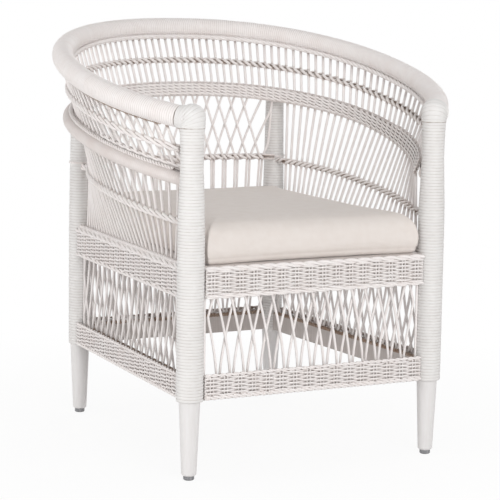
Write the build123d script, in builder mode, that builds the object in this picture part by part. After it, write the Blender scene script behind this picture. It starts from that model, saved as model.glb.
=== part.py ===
"""Woven outdoor armchair: wrapped frame, strand and lattice panels, loose seat cushion.

Millimetres, +Z up, the front faces -Y, the origin is on the floor under the middle of the chair.
"""

import os
from math import asin, ceil, cos, hypot, pi, radians, sin, sqrt

from build123d import *

os.makedirs("parts", exist_ok=True)

# Legs, feet and their wraps
front_leg_spacing = 488.0
rear_leg_spacing = 434.0
leg_row_depth = 577.0
glide_height = 8.0
glide_radius = 9.8
glide_bevel = 1.5
glide_spigot_length = 18.0
foot_radius = 13.5
foot_bevel = 2.5
leg_bore_radius = 8.0
leg_radius = 19.0
leg_arm_radius = 16.0
leg_plug = 12.0
wrap_start = 142.0
front_wrap_radius = 24.5
front_wrap_arm_radius = 20.0
rear_wrap_radius = 22.5
rear_wrap_top_radius = 18.5

# Top rail, its caps and the middle rail
cap_line = 621.0
cap_radius = 23.5
cap_skirt_radius = 22.0
cap_height = 42.5
cap_reach = 25.0
top_rail_radius = 20.0
top_tube_radius = 16.0
top_rail_half_width = 340.0
top_rail_widest = 262.0
top_rail_front_half_width = 247.0
top_rail_overhang = 60.0
top_rail_squareness = 2.22
top_rail_front_height = 636.5
top_rail_slope = 0.209
middle_rail_radius = 11.5
middle_tube_radius = 8.5
middle_rail_half_width = 325.0
middle_rail_widest = 295.0
middle_rail_front_half_width = 225.0
middle_rail_squareness = 2.2
middle_rail_front_height = 523.0
middle_rail_slope = 0.2025

# Seat frame, aprons and base bands
seat_height = 380.0
seat_rail_height = 35.0
rail_thickness = 16.0
lower_rail_height = 34.0
apron_bottom = 322.0
base_band_top = 188.0
woven_skin = 9.0
deck_thickness = 8.0
slat_height = 20.0
slat_width = 30.0
slat_count = 3

# Strands, lattices, twines and braids
strand_radius = 2.75
lattice_radius = 2.4
back_strand_count = 32
side_strand_count = 29
side_strand_thinning = 0.21
side_front_margin = 38.0
side_rear_margin = 40.0
side_head_margin = 55.0
back_lattice_pitch = 25.5
back_lattice_drift = 44.0
back_lattice_foot = 507.0
under_lattice_pitch = 27.0
under_lattice_drift = 35.0
lattice_pair_gap = 8.0
lattice_least_share = 0.3
twine_radius = 3.0
lower_twine_share = 0.48
upper_twine_share = 0.58
rail_braid_radius = 4.5
middle_braid_radius = 2.3
middle_braid_tilt = 15.0
wide_band_thickness = 3.0
wide_band_below = 7.0
wide_band_back_above = 20.0
wide_band_front_above = 28.0

# Cushion
cushion_front_overhang = 9.0
cushion_rear_gap = 30.0
cushion_front_width = 433.0
cushion_rear_width = 416.0
cushion_edge_height = 68.0
cushion_crown = 11.0
cushion_corner = 32.0
cushion_draw_in = 7.0
cover_thickness = 2.0

# Clearances
touch = 0.2
weave_gap = 0.5
strand_gap = 3.6
lattice_gap = 0.6
seat_gap = 0.3

# Places that follow from the sizes
top_rail_back = leg_row_depth + top_rail_overhang
front_line = -(top_rail_back + top_rail_radius - front_wrap_radius) / 2
rear_line = front_line + leg_row_depth
front_x = front_leg_spacing / 2
rear_x = rear_leg_spacing / 2
leg_places = {
    "front_left": (-front_x, front_line),
    "front_right": (front_x, front_line),
    "rear_left": (-rear_x, rear_line),
    "rear_right": (rear_x, rear_line),
}
seat_rail_bottom = seat_height - seat_rail_height
lower_rail_top = wrap_start + lower_rail_height
rail_half = rail_thickness / 2


def save(builder, name):
    """Label a finished piece and write its file."""
    builder.part.label = name
    export_step(builder.part, f"parts/{name}.step")


def blend(a, b, share):
    """The point that lies a share of the way from a to b."""
    return a + (b - a) * share


def top_height(y):
    """Height of the top rail's centre at a depth."""
    return top_rail_front_height + top_rail_slope * (y - front_line)


def middle_height(y):
    """Height of the middle rail's centre at a depth."""
    return middle_rail_front_height + middle_rail_slope * (y - front_line)


def horseshoe(half_width, widest, front_half_width, back, squareness):
    """A rail in plan, from its left front end round the back to its right front end."""
    steps = 300
    reach = widest / sqrt(1 - (front_half_width / half_width) ** 2)
    start = -asin(widest / reach)
    right = []
    for i in range(steps + 1):
        turn = start + (pi / 2 - start) * i / steps
        if turn < 0:
            x = half_width * cos(turn)
            y = widest + reach * sin(turn)
        else:
            x = half_width * max(cos(turn), 0) ** (2 / squareness)
            y = widest + (back - widest) * sin(turn) ** (2 / squareness)
        right.append(Vector(x, front_line + y))
    left = [Vector(-p.X, p.Y) for p in right]
    return left + right[-2::-1]


def behind(curve, distance):
    """The part of a plan curve that lies a distance or more behind the front legs."""
    return [p for p in curve if p.Y >= front_line + distance]


def inset(curve, distance):
    """A plan curve moved square to itself, towards the seat."""
    moved = []
    last = len(curve) - 1
    for i, p in enumerate(curve):
        along = curve[min(i + 1, last)] - curve[max(i - 1, 0)]
        moved.append(p + Vector(along.Y, -along.X).normalized() * distance)
    return moved


def length(curve):
    """Length of a plan curve."""
    return sum((b - a).length for a, b in zip(curve, curve[1:]))


def point_along(curve, share):
    """The point at a share of a plan curve's length."""
    spans = [(b - a).length for a, b in zip(curve, curve[1:])]
    left = min(max(share, 0), 1) * sum(spans)
    for a, b, span in zip(curve, curve[1:], spans):
        if left <= span:
            return blend(a, b, left / span)
        left -= span
    return curve[-1]


def direction_along(place, share):
    """The unit direction in which a path runs at a share of its length."""
    step = 0.002
    return (place(min(share + step, 1)) - place(max(share - step, 0))).normalized()


def outward(place, share):
    """The level direction away from the seat, square to a path that runs left to right."""
    along = direction_along(place, share)
    return Vector(-along.Y, along.X).normalized()


def arc_path(place, spans):
    """Tangent arcs, two to a span, through evenly spaced points of a path."""
    shares = [i / spans for i in range(spans + 1)]
    points = [place(s) for s in shares]
    runs = [direction_along(place, s) for s in shares]
    with BuildLine(mode=Mode.PRIVATE) as path:
        for p, q, along_p, along_q in zip(points, points[1:], runs, runs[1:]):
            chord = q - p
            both = along_p + along_q
            bend = 2 * (1 - along_p.dot(along_q))
            lean = chord.dot(both)
            reach = chord.dot(chord) / (lean + sqrt(lean**2 + bend * chord.dot(chord)))
            first = p + along_p * reach
            second = q - along_q * reach
            joint = (first + second) * 0.5
            TangentArc(p, joint, tangent=along_p)
            TangentArc(joint, q, tangent=(second - first).normalized())
    return path.wire()


def rod(place, spans, radius, bore=0.0):
    """A round rod, or a tube with a bore, swept along a path."""
    start = Plane(origin=place(0), z_dir=direction_along(place, 0))
    with BuildSketch(start, mode=Mode.PRIVATE) as ring:
        Circle(radius)
        if bore:
            Circle(bore, mode=Mode.SUBTRACT)
    return sweep(ring.sketch, path=arc_path(place, spans), mode=Mode.PRIVATE)


def strand(foot, head, radius):
    """A straight strand with level ends."""
    with BuildSketch(Plane.XY.offset(foot.Z), mode=Mode.PRIVATE) as ring:
        with Locations((foot.X, foot.Y)):
            Circle(radius)
    rise = head - foot
    return extrude(ring.sketch, amount=rise.length, dir=rise.normalized(), mode=Mode.PRIVATE)


# Rails in plan: the top rail passes behind the rear legs, the middle rail passes them on the seat side
top_plan = horseshoe(
    top_rail_half_width,
    top_rail_widest,
    top_rail_front_half_width,
    top_rail_back,
    top_rail_squareness,
)


def middle_horseshoe(back):
    """The middle rail in plan, for a depth of its back."""
    return horseshoe(
        middle_rail_half_width,
        middle_rail_widest,
        middle_rail_front_half_width,
        back,
        middle_rail_squareness,
    )


def from_rear_leg(p):
    """Level distance of a point from the middle of the right rear leg."""
    return hypot(rear_x - p.X, rear_line - p.Y)


def back_inside_legs():
    """How far back the middle rail reaches when its wrap just clears the wraps of the rear legs."""
    room = rear_wrap_top_radius + middle_rail_radius + lattice_gap
    near, far = middle_rail_widest, top_rail_back
    while far - near > touch / 2:
        back = (near + far) / 2
        if min(from_rear_leg(p) for p in middle_horseshoe(back)) > room:
            near = back
        else:
            far = back
    return near


middle_plan = middle_horseshoe(back_inside_legs())


# Legs: a tapered tube with a blind bore, bare below the wrap
def front_wrap_at(z):
    """Outer radius of a front leg's wrap at a height."""
    share = max(z - seat_height, 0) / (cap_line - seat_height)
    return front_wrap_radius + (front_wrap_arm_radius - front_wrap_radius) * share


rear_leg_top = middle_height(min(middle_plan, key=from_rear_leg).Y)
leg_tops = {"front": cap_line, "rear": rear_leg_top}
wrap_radii = {
    "front": (front_wrap_radius, front_wrap_arm_radius),
    "rear": (rear_wrap_radius, rear_wrap_top_radius),
}

for name, (x, y) in leg_places.items():
    row = name.split("_")[0]
    top = leg_tops[row]
    low_radius, high_radius = wrap_radii[row]
    upright = Plane(origin=(x, y, 0), x_dir=(1, 0, 0), z_dir=(0, -1, 0))
    spine = Axis((x, y, 0), (0, 0, 1))

    with BuildPart() as leg:
        with BuildSketch(upright):
            with BuildLine():
                Polyline(
                    (leg_bore_radius, glide_height),
                    (foot_radius - foot_bevel, glide_height),
                    (foot_radius, glide_height + foot_bevel),
                    (leg_radius, wrap_start),
                    (leg_radius, seat_height),
                    (leg_arm_radius, top),
                    (0, top),
                    (0, top - leg_plug),
                    (leg_bore_radius, top - leg_plug),
                    close=True,
                )
            make_face()
        revolve(axis=spine)
    save(leg, f"leg_{name}")

    with BuildPart() as leg_wrap:
        with BuildSketch(upright):
            with BuildLine():
                Polyline(
                    (leg_radius, wrap_start),
                    (low_radius, wrap_start),
                    (low_radius, seat_height),
                    (high_radius, top),
                    (leg_arm_radius, top),
                    (leg_radius, seat_height),
                    close=True,
                )
            make_face()
        revolve(axis=spine)
    save(leg_wrap, f"leg_wrap_{name}")

    with BuildPart() as glide:
        with BuildSketch(Plane(origin=(x, y, 0))):
            Circle(glide_radius)
        extrude(amount=glide_height)
        chamfer(glide.edges().group_by(Axis.Z)[0], glide_bevel)
        with BuildSketch(Plane(origin=(x, y, glide_height))):
            Circle(leg_bore_radius - touch)
        extrude(amount=glide_spigot_length)
    save(glide, f"glide_{name}")


# Rails: each a tube along a sloping horseshoe, and the wrap round it
top_run = behind(top_plan, cap_reach)
middle_run = behind(middle_plan, leg_radius / 2)


def top_place(share):
    """A point on the top rail's centre line."""
    p = point_along(top_run, share)
    return Vector(p.X, p.Y, top_height(p.Y))


def middle_place(share):
    """A point on the middle rail's centre line."""
    p = point_along(middle_run, share)
    return Vector(p.X, p.Y, middle_height(p.Y))


rail_spans = 14
side_twine_spans = 6
back_twine_spans = 4

with BuildPart() as top_rail:
    add(rod(top_place, rail_spans, top_tube_radius))
save(top_rail, "top_rail")

with BuildPart() as top_rail_wrap:
    add(rod(top_place, rail_spans, top_rail_radius, top_tube_radius))
save(top_rail_wrap, "top_rail_wrap")

# The middle rail's ends are cut hollow, to seat on the round of the front legs
joint_bottom = middle_rail_front_height - 2 * middle_rail_radius
joint_height = 4 * middle_rail_radius
leg_joint_radius = front_wrap_at(joint_bottom + middle_rail_radius) + touch

with BuildPart() as middle_rail:
    add(rod(middle_place, rail_spans, middle_tube_radius))
    with BuildSketch(Plane.XY.offset(joint_bottom)):
        with Locations(leg_places["front_left"], leg_places["front_right"]):
            Circle(leg_joint_radius)
    extrude(amount=joint_height, mode=Mode.SUBTRACT)
save(middle_rail, "middle_rail")

with BuildPart() as middle_rail_wrap:
    add(rod(middle_place, rail_spans, middle_rail_radius, middle_tube_radius))
    with BuildSketch(Plane.XY.offset(joint_bottom)):
        with Locations(leg_places["front_left"], leg_places["front_right"]):
            Circle(leg_joint_radius)
    extrude(amount=joint_height, mode=Mode.SUBTRACT)
save(middle_rail_wrap, "middle_rail_wrap")

# Arm caps: a wrapped dome over each front leg, with a stub that meets the rail's end
for side, share in (("left", 0), ("right", 1)):
    x, y = leg_places[f"front_{side}"]
    rail_end = top_place(share)
    into_cap = direction_along(top_place, share) * (-1 if share == 0 else 1)
    dome_height = cap_line + cap_height - cap_radius
    with BuildPart() as arm_cap:
        with BuildSketch(Plane(origin=rail_end, z_dir=into_cap)):
            Circle(top_rail_radius)
        extrude(amount=cap_reach)
        with Locations((x, y, dome_height)):
            Sphere(cap_radius)
        with BuildSketch(Plane(origin=(x, y, cap_line))):
            Circle(cap_skirt_radius)
        extrude(amount=dome_height - cap_line)
        with BuildSketch(Plane(origin=(x, y, cap_line))):
            Circle(2 * cap_radius)
        extrude(amount=-2 * cap_radius, mode=Mode.SUBTRACT)
    save(arm_cap, f"arm_cap_{side}")


# Seat rails, lower rails, aprons and base bands: bars between neighbouring legs
def bar_between(leg_a, leg_b, inner, outer, bottom, top):
    """A bar from leg to leg, between two distances outside the line of the leg centres."""
    a = Vector(*leg_places[leg_a])
    b = Vector(*leg_places[leg_b])
    span = b - a
    out = Vector(-span.Y, span.X).normalized()
    middle = blend(a, b, 0.5) + out * (inner + outer) / 2
    base = Plane(origin=(middle.X, middle.Y, bottom), x_dir=span, z_dir=(0, 0, 1))
    with BuildPart() as bar:
        with BuildSketch(base):
            Rectangle(span.length, outer - inner)
        extrude(amount=top - bottom)
        for leg in (leg_a, leg_b):
            radius = wrap_radii[leg.split("_")[0]][0] + touch
            with BuildSketch(Plane(origin=(*leg_places[leg], bottom))):
                Circle(radius)
            extrude(amount=top - bottom, mode=Mode.SUBTRACT)
    return bar


sides = {
    "front": ("front_right", "front_left"),
    "left": ("front_left", "rear_left"),
    "rear": ("rear_left", "rear_right"),
    "right": ("rear_right", "front_right"),
}
skin_face = rail_half + touch

for side, (leg_a, leg_b) in sides.items():
    seat_rail = bar_between(leg_a, leg_b, -rail_half, rail_half, seat_rail_bottom, seat_height)
    save(seat_rail, f"seat_rail_{side}")
    lower_rail = bar_between(leg_a, leg_b, -rail_half, rail_half, wrap_start, lower_rail_top)
    save(lower_rail, f"lower_rail_{side}")
    apron = bar_between(leg_a, leg_b, skin_face, skin_face + woven_skin, apron_bottom, seat_height)
    save(apron, f"apron_{side}")
    base_band = bar_between(leg_a, leg_b, skin_face, skin_face + woven_skin, wrap_start, base_band_top)
    save(base_band, f"base_band_{side}")


# Seat deck and the slats under it, inside the seat rails
def side_line(y):
    """Half the spacing of the leg centres at a depth."""
    share = (y - front_line) / leg_row_depth
    return front_x + (rear_x - front_x) * share


def between_side_rails(y_front, y_rear, bottom, height):
    """A level plate from side rail to side rail."""
    edge = rail_half * hypot(front_x - rear_x, leg_row_depth) / leg_row_depth + touch
    with BuildSketch(Plane.XY.offset(bottom)) as plate:
        with BuildLine():
            Polyline(
                (side_line(y_front) - edge, y_front),
                (side_line(y_rear) - edge, y_rear),
                (edge - side_line(y_rear), y_rear),
                (edge - side_line(y_front), y_front),
                close=True,
            )
        make_face()
    return extrude(plate.sketch, amount=height, mode=Mode.PRIVATE)


deck_bottom = seat_height - deck_thickness
deck_front = front_line + rail_half + touch
deck_rear = rear_line - rail_half - touch

with BuildPart() as seat_deck:
    add(between_side_rails(deck_front, deck_rear, deck_bottom, deck_thickness))
    for leg, place in leg_places.items():
        with BuildSketch(Plane(origin=(*place, deck_bottom))):
            Circle(wrap_radii[leg.split("_")[0]][0] + touch)
        extrude(amount=deck_thickness, mode=Mode.SUBTRACT)
save(seat_deck, "seat_deck")

with BuildPart() as seat_slats:
    for i in range(slat_count):
        slat_front = front_line + leg_row_depth * (i + 1) / (slat_count + 1) - slat_width / 2
        slat_rear = slat_front + slat_width
        add(between_side_rails(slat_front, slat_rear, deck_bottom - slat_height, slat_height))
save(seat_slats, "seat_slats")

# Upper strands: from the inner side of the middle rail up to the underside of the top rail
strand_offset = middle_rail_radius + strand_radius + strand_gap
strand_start = front_wrap_at(middle_rail_front_height) + strand_radius + strand_gap
middle_inner = behind(inset(middle_plan, strand_offset), strand_start)
top_under = behind(top_plan, strand_start)


def upper_foot(share):
    """Where an upper strand starts, at the height of the middle rail."""
    p = point_along(middle_inner, share)
    return Vector(p.X, p.Y, middle_height(p.Y))


def upper_head(share):
    """Where an upper strand ends, just under the top rail's wrap."""
    p = point_along(top_under, share)
    climb = top_rail_slope * abs(direction_along(lambda s: point_along(top_under, s), share).Y)
    drop = top_rail_radius * hypot(1, climb) + strand_radius * climb + weave_gap
    return Vector(p.X, p.Y, top_height(p.Y) - drop)


def upper_group(shares):
    """Upper strands at shares of the rails' length."""
    return [strand(upper_foot(s), upper_head(s), strand_radius) for s in shares]


# The strands of the sides stand closer together towards the back
left_inner = [p for p in middle_inner if p.X < 0 and p.Y <= rear_line - side_head_margin]
side_length = length(left_inner) / length(middle_inner)
side_steps = [(i + 0.5) / side_strand_count for i in range(side_strand_count)]
side_shares = [t + side_strand_thinning * t * (1 - t) for t in side_steps]
back_shares = [(i + 0.5) / back_strand_count for i in range(back_strand_count)]

with BuildPart() as upper_strands_left:
    add(upper_group([side_length * s for s in side_shares]))
save(upper_strands_left, "upper_strands_left")

with BuildPart() as upper_strands_back:
    add(upper_group([side_length + (1 - 2 * side_length) * s for s in back_shares]))
save(upper_strands_back, "upper_strands_back")

with BuildPart() as upper_strands_right:
    add(upper_group([1 - side_length * s for s in side_shares]))
save(upper_strands_right, "upper_strands_right")

# Lower strands: from the side seat rails up and out to the feet of the upper strands
side_foot_front = front_line + side_front_margin
side_foot_rear = rear_line - side_rear_margin


def side_foot(share):
    """Where a strand of the left side stands on its seat rail."""
    y = side_foot_front + (side_foot_rear - side_foot_front) * share
    return Vector(-side_line(y), y, seat_height)


def side_head(share):
    """Where a strand of the left side ends, beside the middle rail."""
    p = point_along(left_inner, share)
    return Vector(p.X, p.Y, middle_height(p.Y) - touch)


def other_side(p):
    """The same point on the right side."""
    return Vector(-p.X, p.Y, p.Z)


with BuildPart() as lower_strands_left:
    add([strand(side_foot(s), side_head(s), strand_radius) for s in side_shares])
save(lower_strands_left, "lower_strands_left")

with BuildPart() as lower_strands_right:
    add([strand(other_side(side_foot(s)), other_side(side_head(s)), strand_radius) for s in side_shares])
save(lower_strands_right, "lower_strands_right")


# Lattices: two layers of slanted strands that cross without touching
def lattice_lines(half_width, pitch, drift):
    """Slanted lines over a panel: layer, start, share of the height, end, share of the height."""
    lines = []
    count = ceil((half_width + drift) / pitch)
    for way in (1, -1):
        for i in range(-count, count + 1):
            foot = i * pitch + way * lattice_pair_gap / 2
            limits = sorted(((-half_width - foot) * way / drift, (half_width - foot) * way / drift))
            low = max(0, limits[0])
            high = min(1, limits[1])
            if high - low > lattice_least_share:
                lines.append((way, foot + way * drift * low, low, foot + way * drift * high, high))
    return lines


layer_offset = lattice_radius + lattice_gap / 2


def under_panel(leg_a, leg_b):
    """The lattice between a lower rail and a seat rail, with an upright beside each leg."""
    a = Vector(*leg_places[leg_a])
    b = Vector(*leg_places[leg_b])
    along = (b - a).normalized()
    out = Vector(-along.Y, along.X)
    middle = blend(a, b, 0.5)
    reach = wrap_radii[leg_a.split("_")[0]][0], wrap_radii[leg_b.split("_")[0]][0]
    border = (b - a).length / 2 - max(reach) - strand_radius - touch
    half_width = border - strand_radius - lattice_radius - touch
    rise = seat_rail_bottom - lower_rail_top

    def place(distance, share, layer):
        p = middle + along * distance + out * layer
        return Vector(p.X, p.Y, lower_rail_top + rise * share)

    strands = []
    for way, start, low, end, high in lattice_lines(half_width, under_lattice_pitch, under_lattice_drift):
        layer = way * layer_offset
        strands.append(strand(place(start, low, layer), place(end, high, layer), lattice_radius))
    for edge in (-border, border):
        strands.append(strand(place(edge, 0, 0), place(edge, 1, 0), strand_radius))
    return strands


for side, (leg_a, leg_b) in sides.items():
    with BuildPart() as lattice:
        add(under_panel(leg_a, leg_b))
    save(lattice, f"lattice_{side}")

# Back panel between the rear legs: uprights from the seat, then a lattice up to the middle rail
back_half_width = rear_x - rear_wrap_radius - lattice_radius - lattice_gap
lattice_offset = middle_rail_radius + lattice_gap + lattice_radius + layer_offset
behind_widest = behind(inset(middle_plan, lattice_offset), middle_rail_widest)
back_inner = [p for p in behind_widest if abs(p.X) <= rear_x]


def back_head(x, layer):
    """The top of the back panel at a place across it."""
    for p, q in zip(back_inner, back_inner[1:]):
        if p.X <= x <= q.X:
            y = blend(p, q, (x - p.X) / (q.X - p.X)).Y
    return Vector(x, y + layer, middle_height(y) - strand_gap)


def back_foot(x, layer):
    """The line where the uprights end and the back lattice starts."""
    head = back_head(x, layer)
    share = (back_lattice_foot - seat_height) / (head.Z - seat_height)
    return Vector(x, rear_line + layer + (head.Y - layer - rear_line) * share, back_lattice_foot)


def back_point(x, share, layer):
    """A point of the back lattice, at a share of its height."""
    return blend(back_foot(x, layer), back_head(x, layer), share)


# Each strand of the back lattice bends a little, to follow the curve of the back
back_lattice_bends = 3
back_lattice_strands = []
back_upright_strands = []
for way, start, low, end, high in lattice_lines(back_half_width, back_lattice_pitch, back_lattice_drift):
    layer = way * layer_offset
    bends = [i / back_lattice_bends for i in range(back_lattice_bends + 1)]
    points = [back_point(blend(start, end, b), blend(low, high, b), layer) for b in bends]
    for p, q in zip(points, points[1:]):
        back_lattice_strands.append(strand(p, q, lattice_radius))
    if low == 0:
        upright_foot = Vector(start, rear_line + layer, seat_height)
        back_upright_strands.append(strand(upright_foot, points[0], lattice_radius))

with BuildPart() as back_lattice:
    add(back_lattice_strands)
save(back_lattice, "back_lattice")

with BuildPart() as back_uprights:
    add(back_upright_strands)
save(back_uprights, "back_uprights")


# Twined bands: a rod on each side of the strands that it binds
def beside(place, distance):
    """A path moved level, away from the seat by a distance."""
    return lambda share: place(share) + outward(place, share) * distance


def upper_twine_line(share):
    """The upper twine's line through the middle of the upper strands."""
    return blend(upper_foot(share), upper_head(share), upper_twine_share)


def left_twine_line(share):
    """The lower twine's line through the strands of the left side."""
    return blend(side_foot(share), side_head(share), lower_twine_share)


def back_twine_line(share):
    """The lower twine's line along the feet of the back lattice."""
    return back_foot(back_half_width * (2 * share - 1), 0)


twine_offset = strand_radius + twine_radius + weave_gap
back_twine_offset = layer_offset + lattice_radius + twine_radius + lattice_gap

with BuildPart() as upper_twine:
    add([rod(beside(upper_twine_line, d), rail_spans, twine_radius) for d in (-twine_offset, twine_offset)])
save(upper_twine, "upper_twine")

with BuildPart() as lower_twine:
    for away in (-twine_offset, twine_offset):
        side_rod = rod(beside(left_twine_line, away), side_twine_spans, twine_radius)
        add(side_rod)
        add(mirror(side_rod, about=Plane.YZ, mode=Mode.PRIVATE))
    for away in (-back_twine_offset, back_twine_offset):
        add(rod(beside(back_twine_line, away), back_twine_spans, twine_radius))
save(lower_twine, "lower_twine")


# Braids: one under the inner side of the top rail, one on top of the middle rail
def rail_braid_line(share):
    """The braid's line, half way between level and straight down from the top rail."""
    away = (top_rail_radius + rail_braid_radius + weave_gap) / sqrt(2)
    p = top_place(share) - outward(top_place, share) * away
    return Vector(p.X, p.Y, p.Z - away)


braid_run = behind(middle_plan, leg_joint_radius + middle_braid_radius)


def middle_crest(share):
    """A point on the middle rail's centre line, clear of the front legs."""
    p = point_along(braid_run, share)
    return Vector(p.X, p.Y, middle_height(p.Y))


def middle_braid_line(share):
    """The braid's line along the top of the middle rail, a little away from the seat."""
    away = middle_rail_radius + middle_braid_radius + lattice_gap
    tilt = radians(middle_braid_tilt)
    p = middle_crest(share) + outward(middle_crest, share) * away * sin(tilt)
    return Vector(p.X, p.Y, p.Z + away * cos(tilt))


with BuildPart() as rail_braid:
    add(rod(rail_braid_line, rail_spans, rail_braid_radius))
save(rail_braid, "rail_braid")

with BuildPart() as middle_braid:
    add(rod(middle_braid_line, rail_spans, middle_braid_radius))
save(middle_braid, "middle_braid")

# Wide woven band on the seat side of the strands, taller towards the arms
band_gap = strand_radius + 2 * lattice_gap
band_sections = 36

with BuildPart() as wide_band:
    for i in range(band_sections + 1):
        share = i / band_sections
        foot = upper_foot(share)
        head = upper_head(share)
        out = outward(upper_foot, share)
        lean = (head - foot).dot(out) / (head.Z - foot.Z)
        arm_share = (rear_line - foot.Y) / leg_row_depth
        above = wide_band_back_above + (wide_band_front_above - wide_band_back_above) * max(arm_share, 0)
        section = Plane(origin=foot, x_dir=-out, z_dir=Vector(-out.Y, out.X))
        with BuildSketch(section):
            with BuildLine():
                Polyline(
                    (band_gap + lean * wide_band_below, -wide_band_below),
                    (band_gap + wide_band_thickness + lean * wide_band_below, -wide_band_below),
                    (band_gap + wide_band_thickness - lean * above, above),
                    (band_gap - lean * above, above),
                    close=True,
                )
            make_face()
    loft(ruled=True)
save(wide_band, "wide_band")

# Cushion: level outlines with rounded corners and drawn-in sides, crowned on top
cushion_bottom = seat_height + seat_gap
cushion_front = front_line - cushion_front_overhang
cushion_rear = rear_line - cushion_rear_gap


def cushion_outline(z, inward):
    """One level outline of the cushion, drawn in from its full size."""
    front = cushion_front + inward
    rear = cushion_rear - inward
    half_front = cushion_front_width / 2 - inward
    half_rear = cushion_rear_width / 2 - inward
    draw = cushion_draw_in
    waist = (half_front + half_rear) / 2 - draw
    centre = (front + rear) / 2
    with BuildSketch(Plane.XY.offset(z)) as outline:
        with BuildLine():
            ThreePointArc((-half_front, front), (0, front + draw), (half_front, front))
            ThreePointArc((half_front, front), (waist, centre), (half_rear, rear))
            ThreePointArc((half_rear, rear), (0, rear - draw), (-half_rear, rear))
            ThreePointArc((-half_rear, rear), (-waist, centre), (-half_front, front))
        make_face()
        fillet(outline.vertices(), cushion_corner * (1 - inward / cushion_rear_width))
    return outline.sketch


# Each level of the cushion: how far its outline is drawn in, and its share of the edge and the crown
cushion_levels = (
    (16, 0.0, 0),
    (5, 0.12, 0),
    (0, 0.4, 0),
    (1, 0.65, 0),
    (7, 0.87, 0),
    (20, 1.0, 0),
    (50, 1.0, 0.45),
    (100, 1.0, 0.82),
    (160, 1.0, 1.0),
)


def cushion_body(shell):
    """The cushion's form, a shell thickness inside its outer face."""
    low = cushion_bottom + shell
    edge = cushion_edge_height - shell
    crown = cushion_crown - shell
    outlines = []
    for inward, edge_share, crown_share in cushion_levels:
        outlines.append(cushion_outline(low + edge * edge_share + crown * crown_share, inward + shell))
    return loft(outlines, ruled=True, mode=Mode.PRIVATE)


with BuildPart() as cushion_foam:
    add(cushion_body(cover_thickness))
save(cushion_foam, "cushion_foam")

with BuildPart() as cushion_cover:
    add(cushion_body(0))
    add(cushion_foam.part, mode=Mode.SUBTRACT)
save(cushion_cover, "cushion_cover")
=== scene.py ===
# %% [markdown]
# A woven porch armchair, dressed in Blender.
# The chair is a frame of poles with peel wound round them, upright canes that are tied by twined
# bands, diamond lattices, and woven aprons round the seat. All of it is painted one warm white.
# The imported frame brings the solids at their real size. Every cell below models one kind of
# basket work over them, in metres, in the frame's own axes: the front of the chair faces -Y.

# %% Load the frame
import math

import bpy
import numpy as np
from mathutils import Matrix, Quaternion, Vector
from mathutils.kdtree import KDTree


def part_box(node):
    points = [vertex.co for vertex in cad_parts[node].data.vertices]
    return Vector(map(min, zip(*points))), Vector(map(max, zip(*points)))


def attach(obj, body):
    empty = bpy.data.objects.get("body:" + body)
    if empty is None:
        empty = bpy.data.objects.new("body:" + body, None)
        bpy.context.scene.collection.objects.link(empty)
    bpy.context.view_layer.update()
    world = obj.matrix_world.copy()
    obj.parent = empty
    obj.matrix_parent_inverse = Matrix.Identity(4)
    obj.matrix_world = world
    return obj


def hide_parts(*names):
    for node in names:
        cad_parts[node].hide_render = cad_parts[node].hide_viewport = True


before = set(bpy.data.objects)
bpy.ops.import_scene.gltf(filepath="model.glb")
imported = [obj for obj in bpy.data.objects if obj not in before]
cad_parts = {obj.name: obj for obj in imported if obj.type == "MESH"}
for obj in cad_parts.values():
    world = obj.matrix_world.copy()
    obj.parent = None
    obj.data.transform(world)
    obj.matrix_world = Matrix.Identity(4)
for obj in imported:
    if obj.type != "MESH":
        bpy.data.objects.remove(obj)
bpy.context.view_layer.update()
mm = 0.001
rng = np.random.default_rng(11)

# %% [markdown]
# Basket work is hundreds of canes, so most of the modelling is the same few steps again and again.
# A few small tools do them: selecting a piece, reading and moving its points, applying a modifier, and
# giving the piece its finish. Operators draw the rough forms, and moved points make them uneven, as
# hand work is.


# %% Tools for shaping by hand
def clear_selection():
    """Deselect everything, so that the next operator acts on the new piece alone."""
    bpy.ops.object.select_all(action="DESELECT")


def make_active(piece):
    """Select one piece alone."""
    clear_selection()
    piece.select_set(True)
    bpy.context.view_layer.objects.active = piece


def points_of(piece):
    """A piece's vertices, as rows of x, y and z."""
    flat = np.empty(len(piece.data.vertices) * 3)
    piece.data.vertices.foreach_get("co", flat)
    return flat.reshape(-1, 3)


def move_points(piece, points):
    """Put a piece's vertices at new places."""
    piece.data.vertices.foreach_set("co", points.ravel())
    piece.data.update()


def mark(piece, name, values):
    """Store one number per vertex, for a finish to read."""
    layer = piece.data.attributes.get(name) or piece.data.attributes.new(name, "FLOAT", "POINT")
    layer.data.foreach_set("value", np.asarray(values, np.float32))


def apply_modifier(piece, kind, **settings):
    """Add a modifier to the active piece, set it, and keep its result as the mesh."""
    modifier = piece.modifiers.new(kind.lower(), kind)
    for setting, value in settings.items():
        setattr(modifier, setting, value)
    bpy.ops.object.modifier_apply(modifier=modifier.name)


def join(name, pieces):
    """Make several meshes one piece."""
    make_active(pieces[0])
    for piece in pieces:
        piece.select_set(True)
    bpy.ops.object.join()
    pieces[0].name = name
    return pieces[0]


def dress(piece, finish, nodes=(), body="chair_frame"):
    """Close a finished piece's seams, and give it its finish, its body and the solids it stands for."""
    make_active(piece)
    bpy.ops.object.mode_set(mode="EDIT")
    bpy.ops.mesh.select_all(action="SELECT")
    bpy.ops.mesh.remove_doubles(threshold=mm / 1000)
    bpy.ops.object.mode_set(mode="OBJECT")
    piece.data.materials.clear()
    piece.data.materials.append(finish)
    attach(piece, body)
    if nodes:
        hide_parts(*nodes)


# %% [markdown]
# The woven work hangs between the legs, the seat and the two rails. The places of the legs and the
# heights of the seat could be typed in again, but they're read from the frame, so that the basket
# work follows the solids if a size changes.


# %% Places of the legs and the seat
def middle_of(node):
    """The middle of a solid's box."""
    low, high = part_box(node)
    return (low + high) / 2


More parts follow.
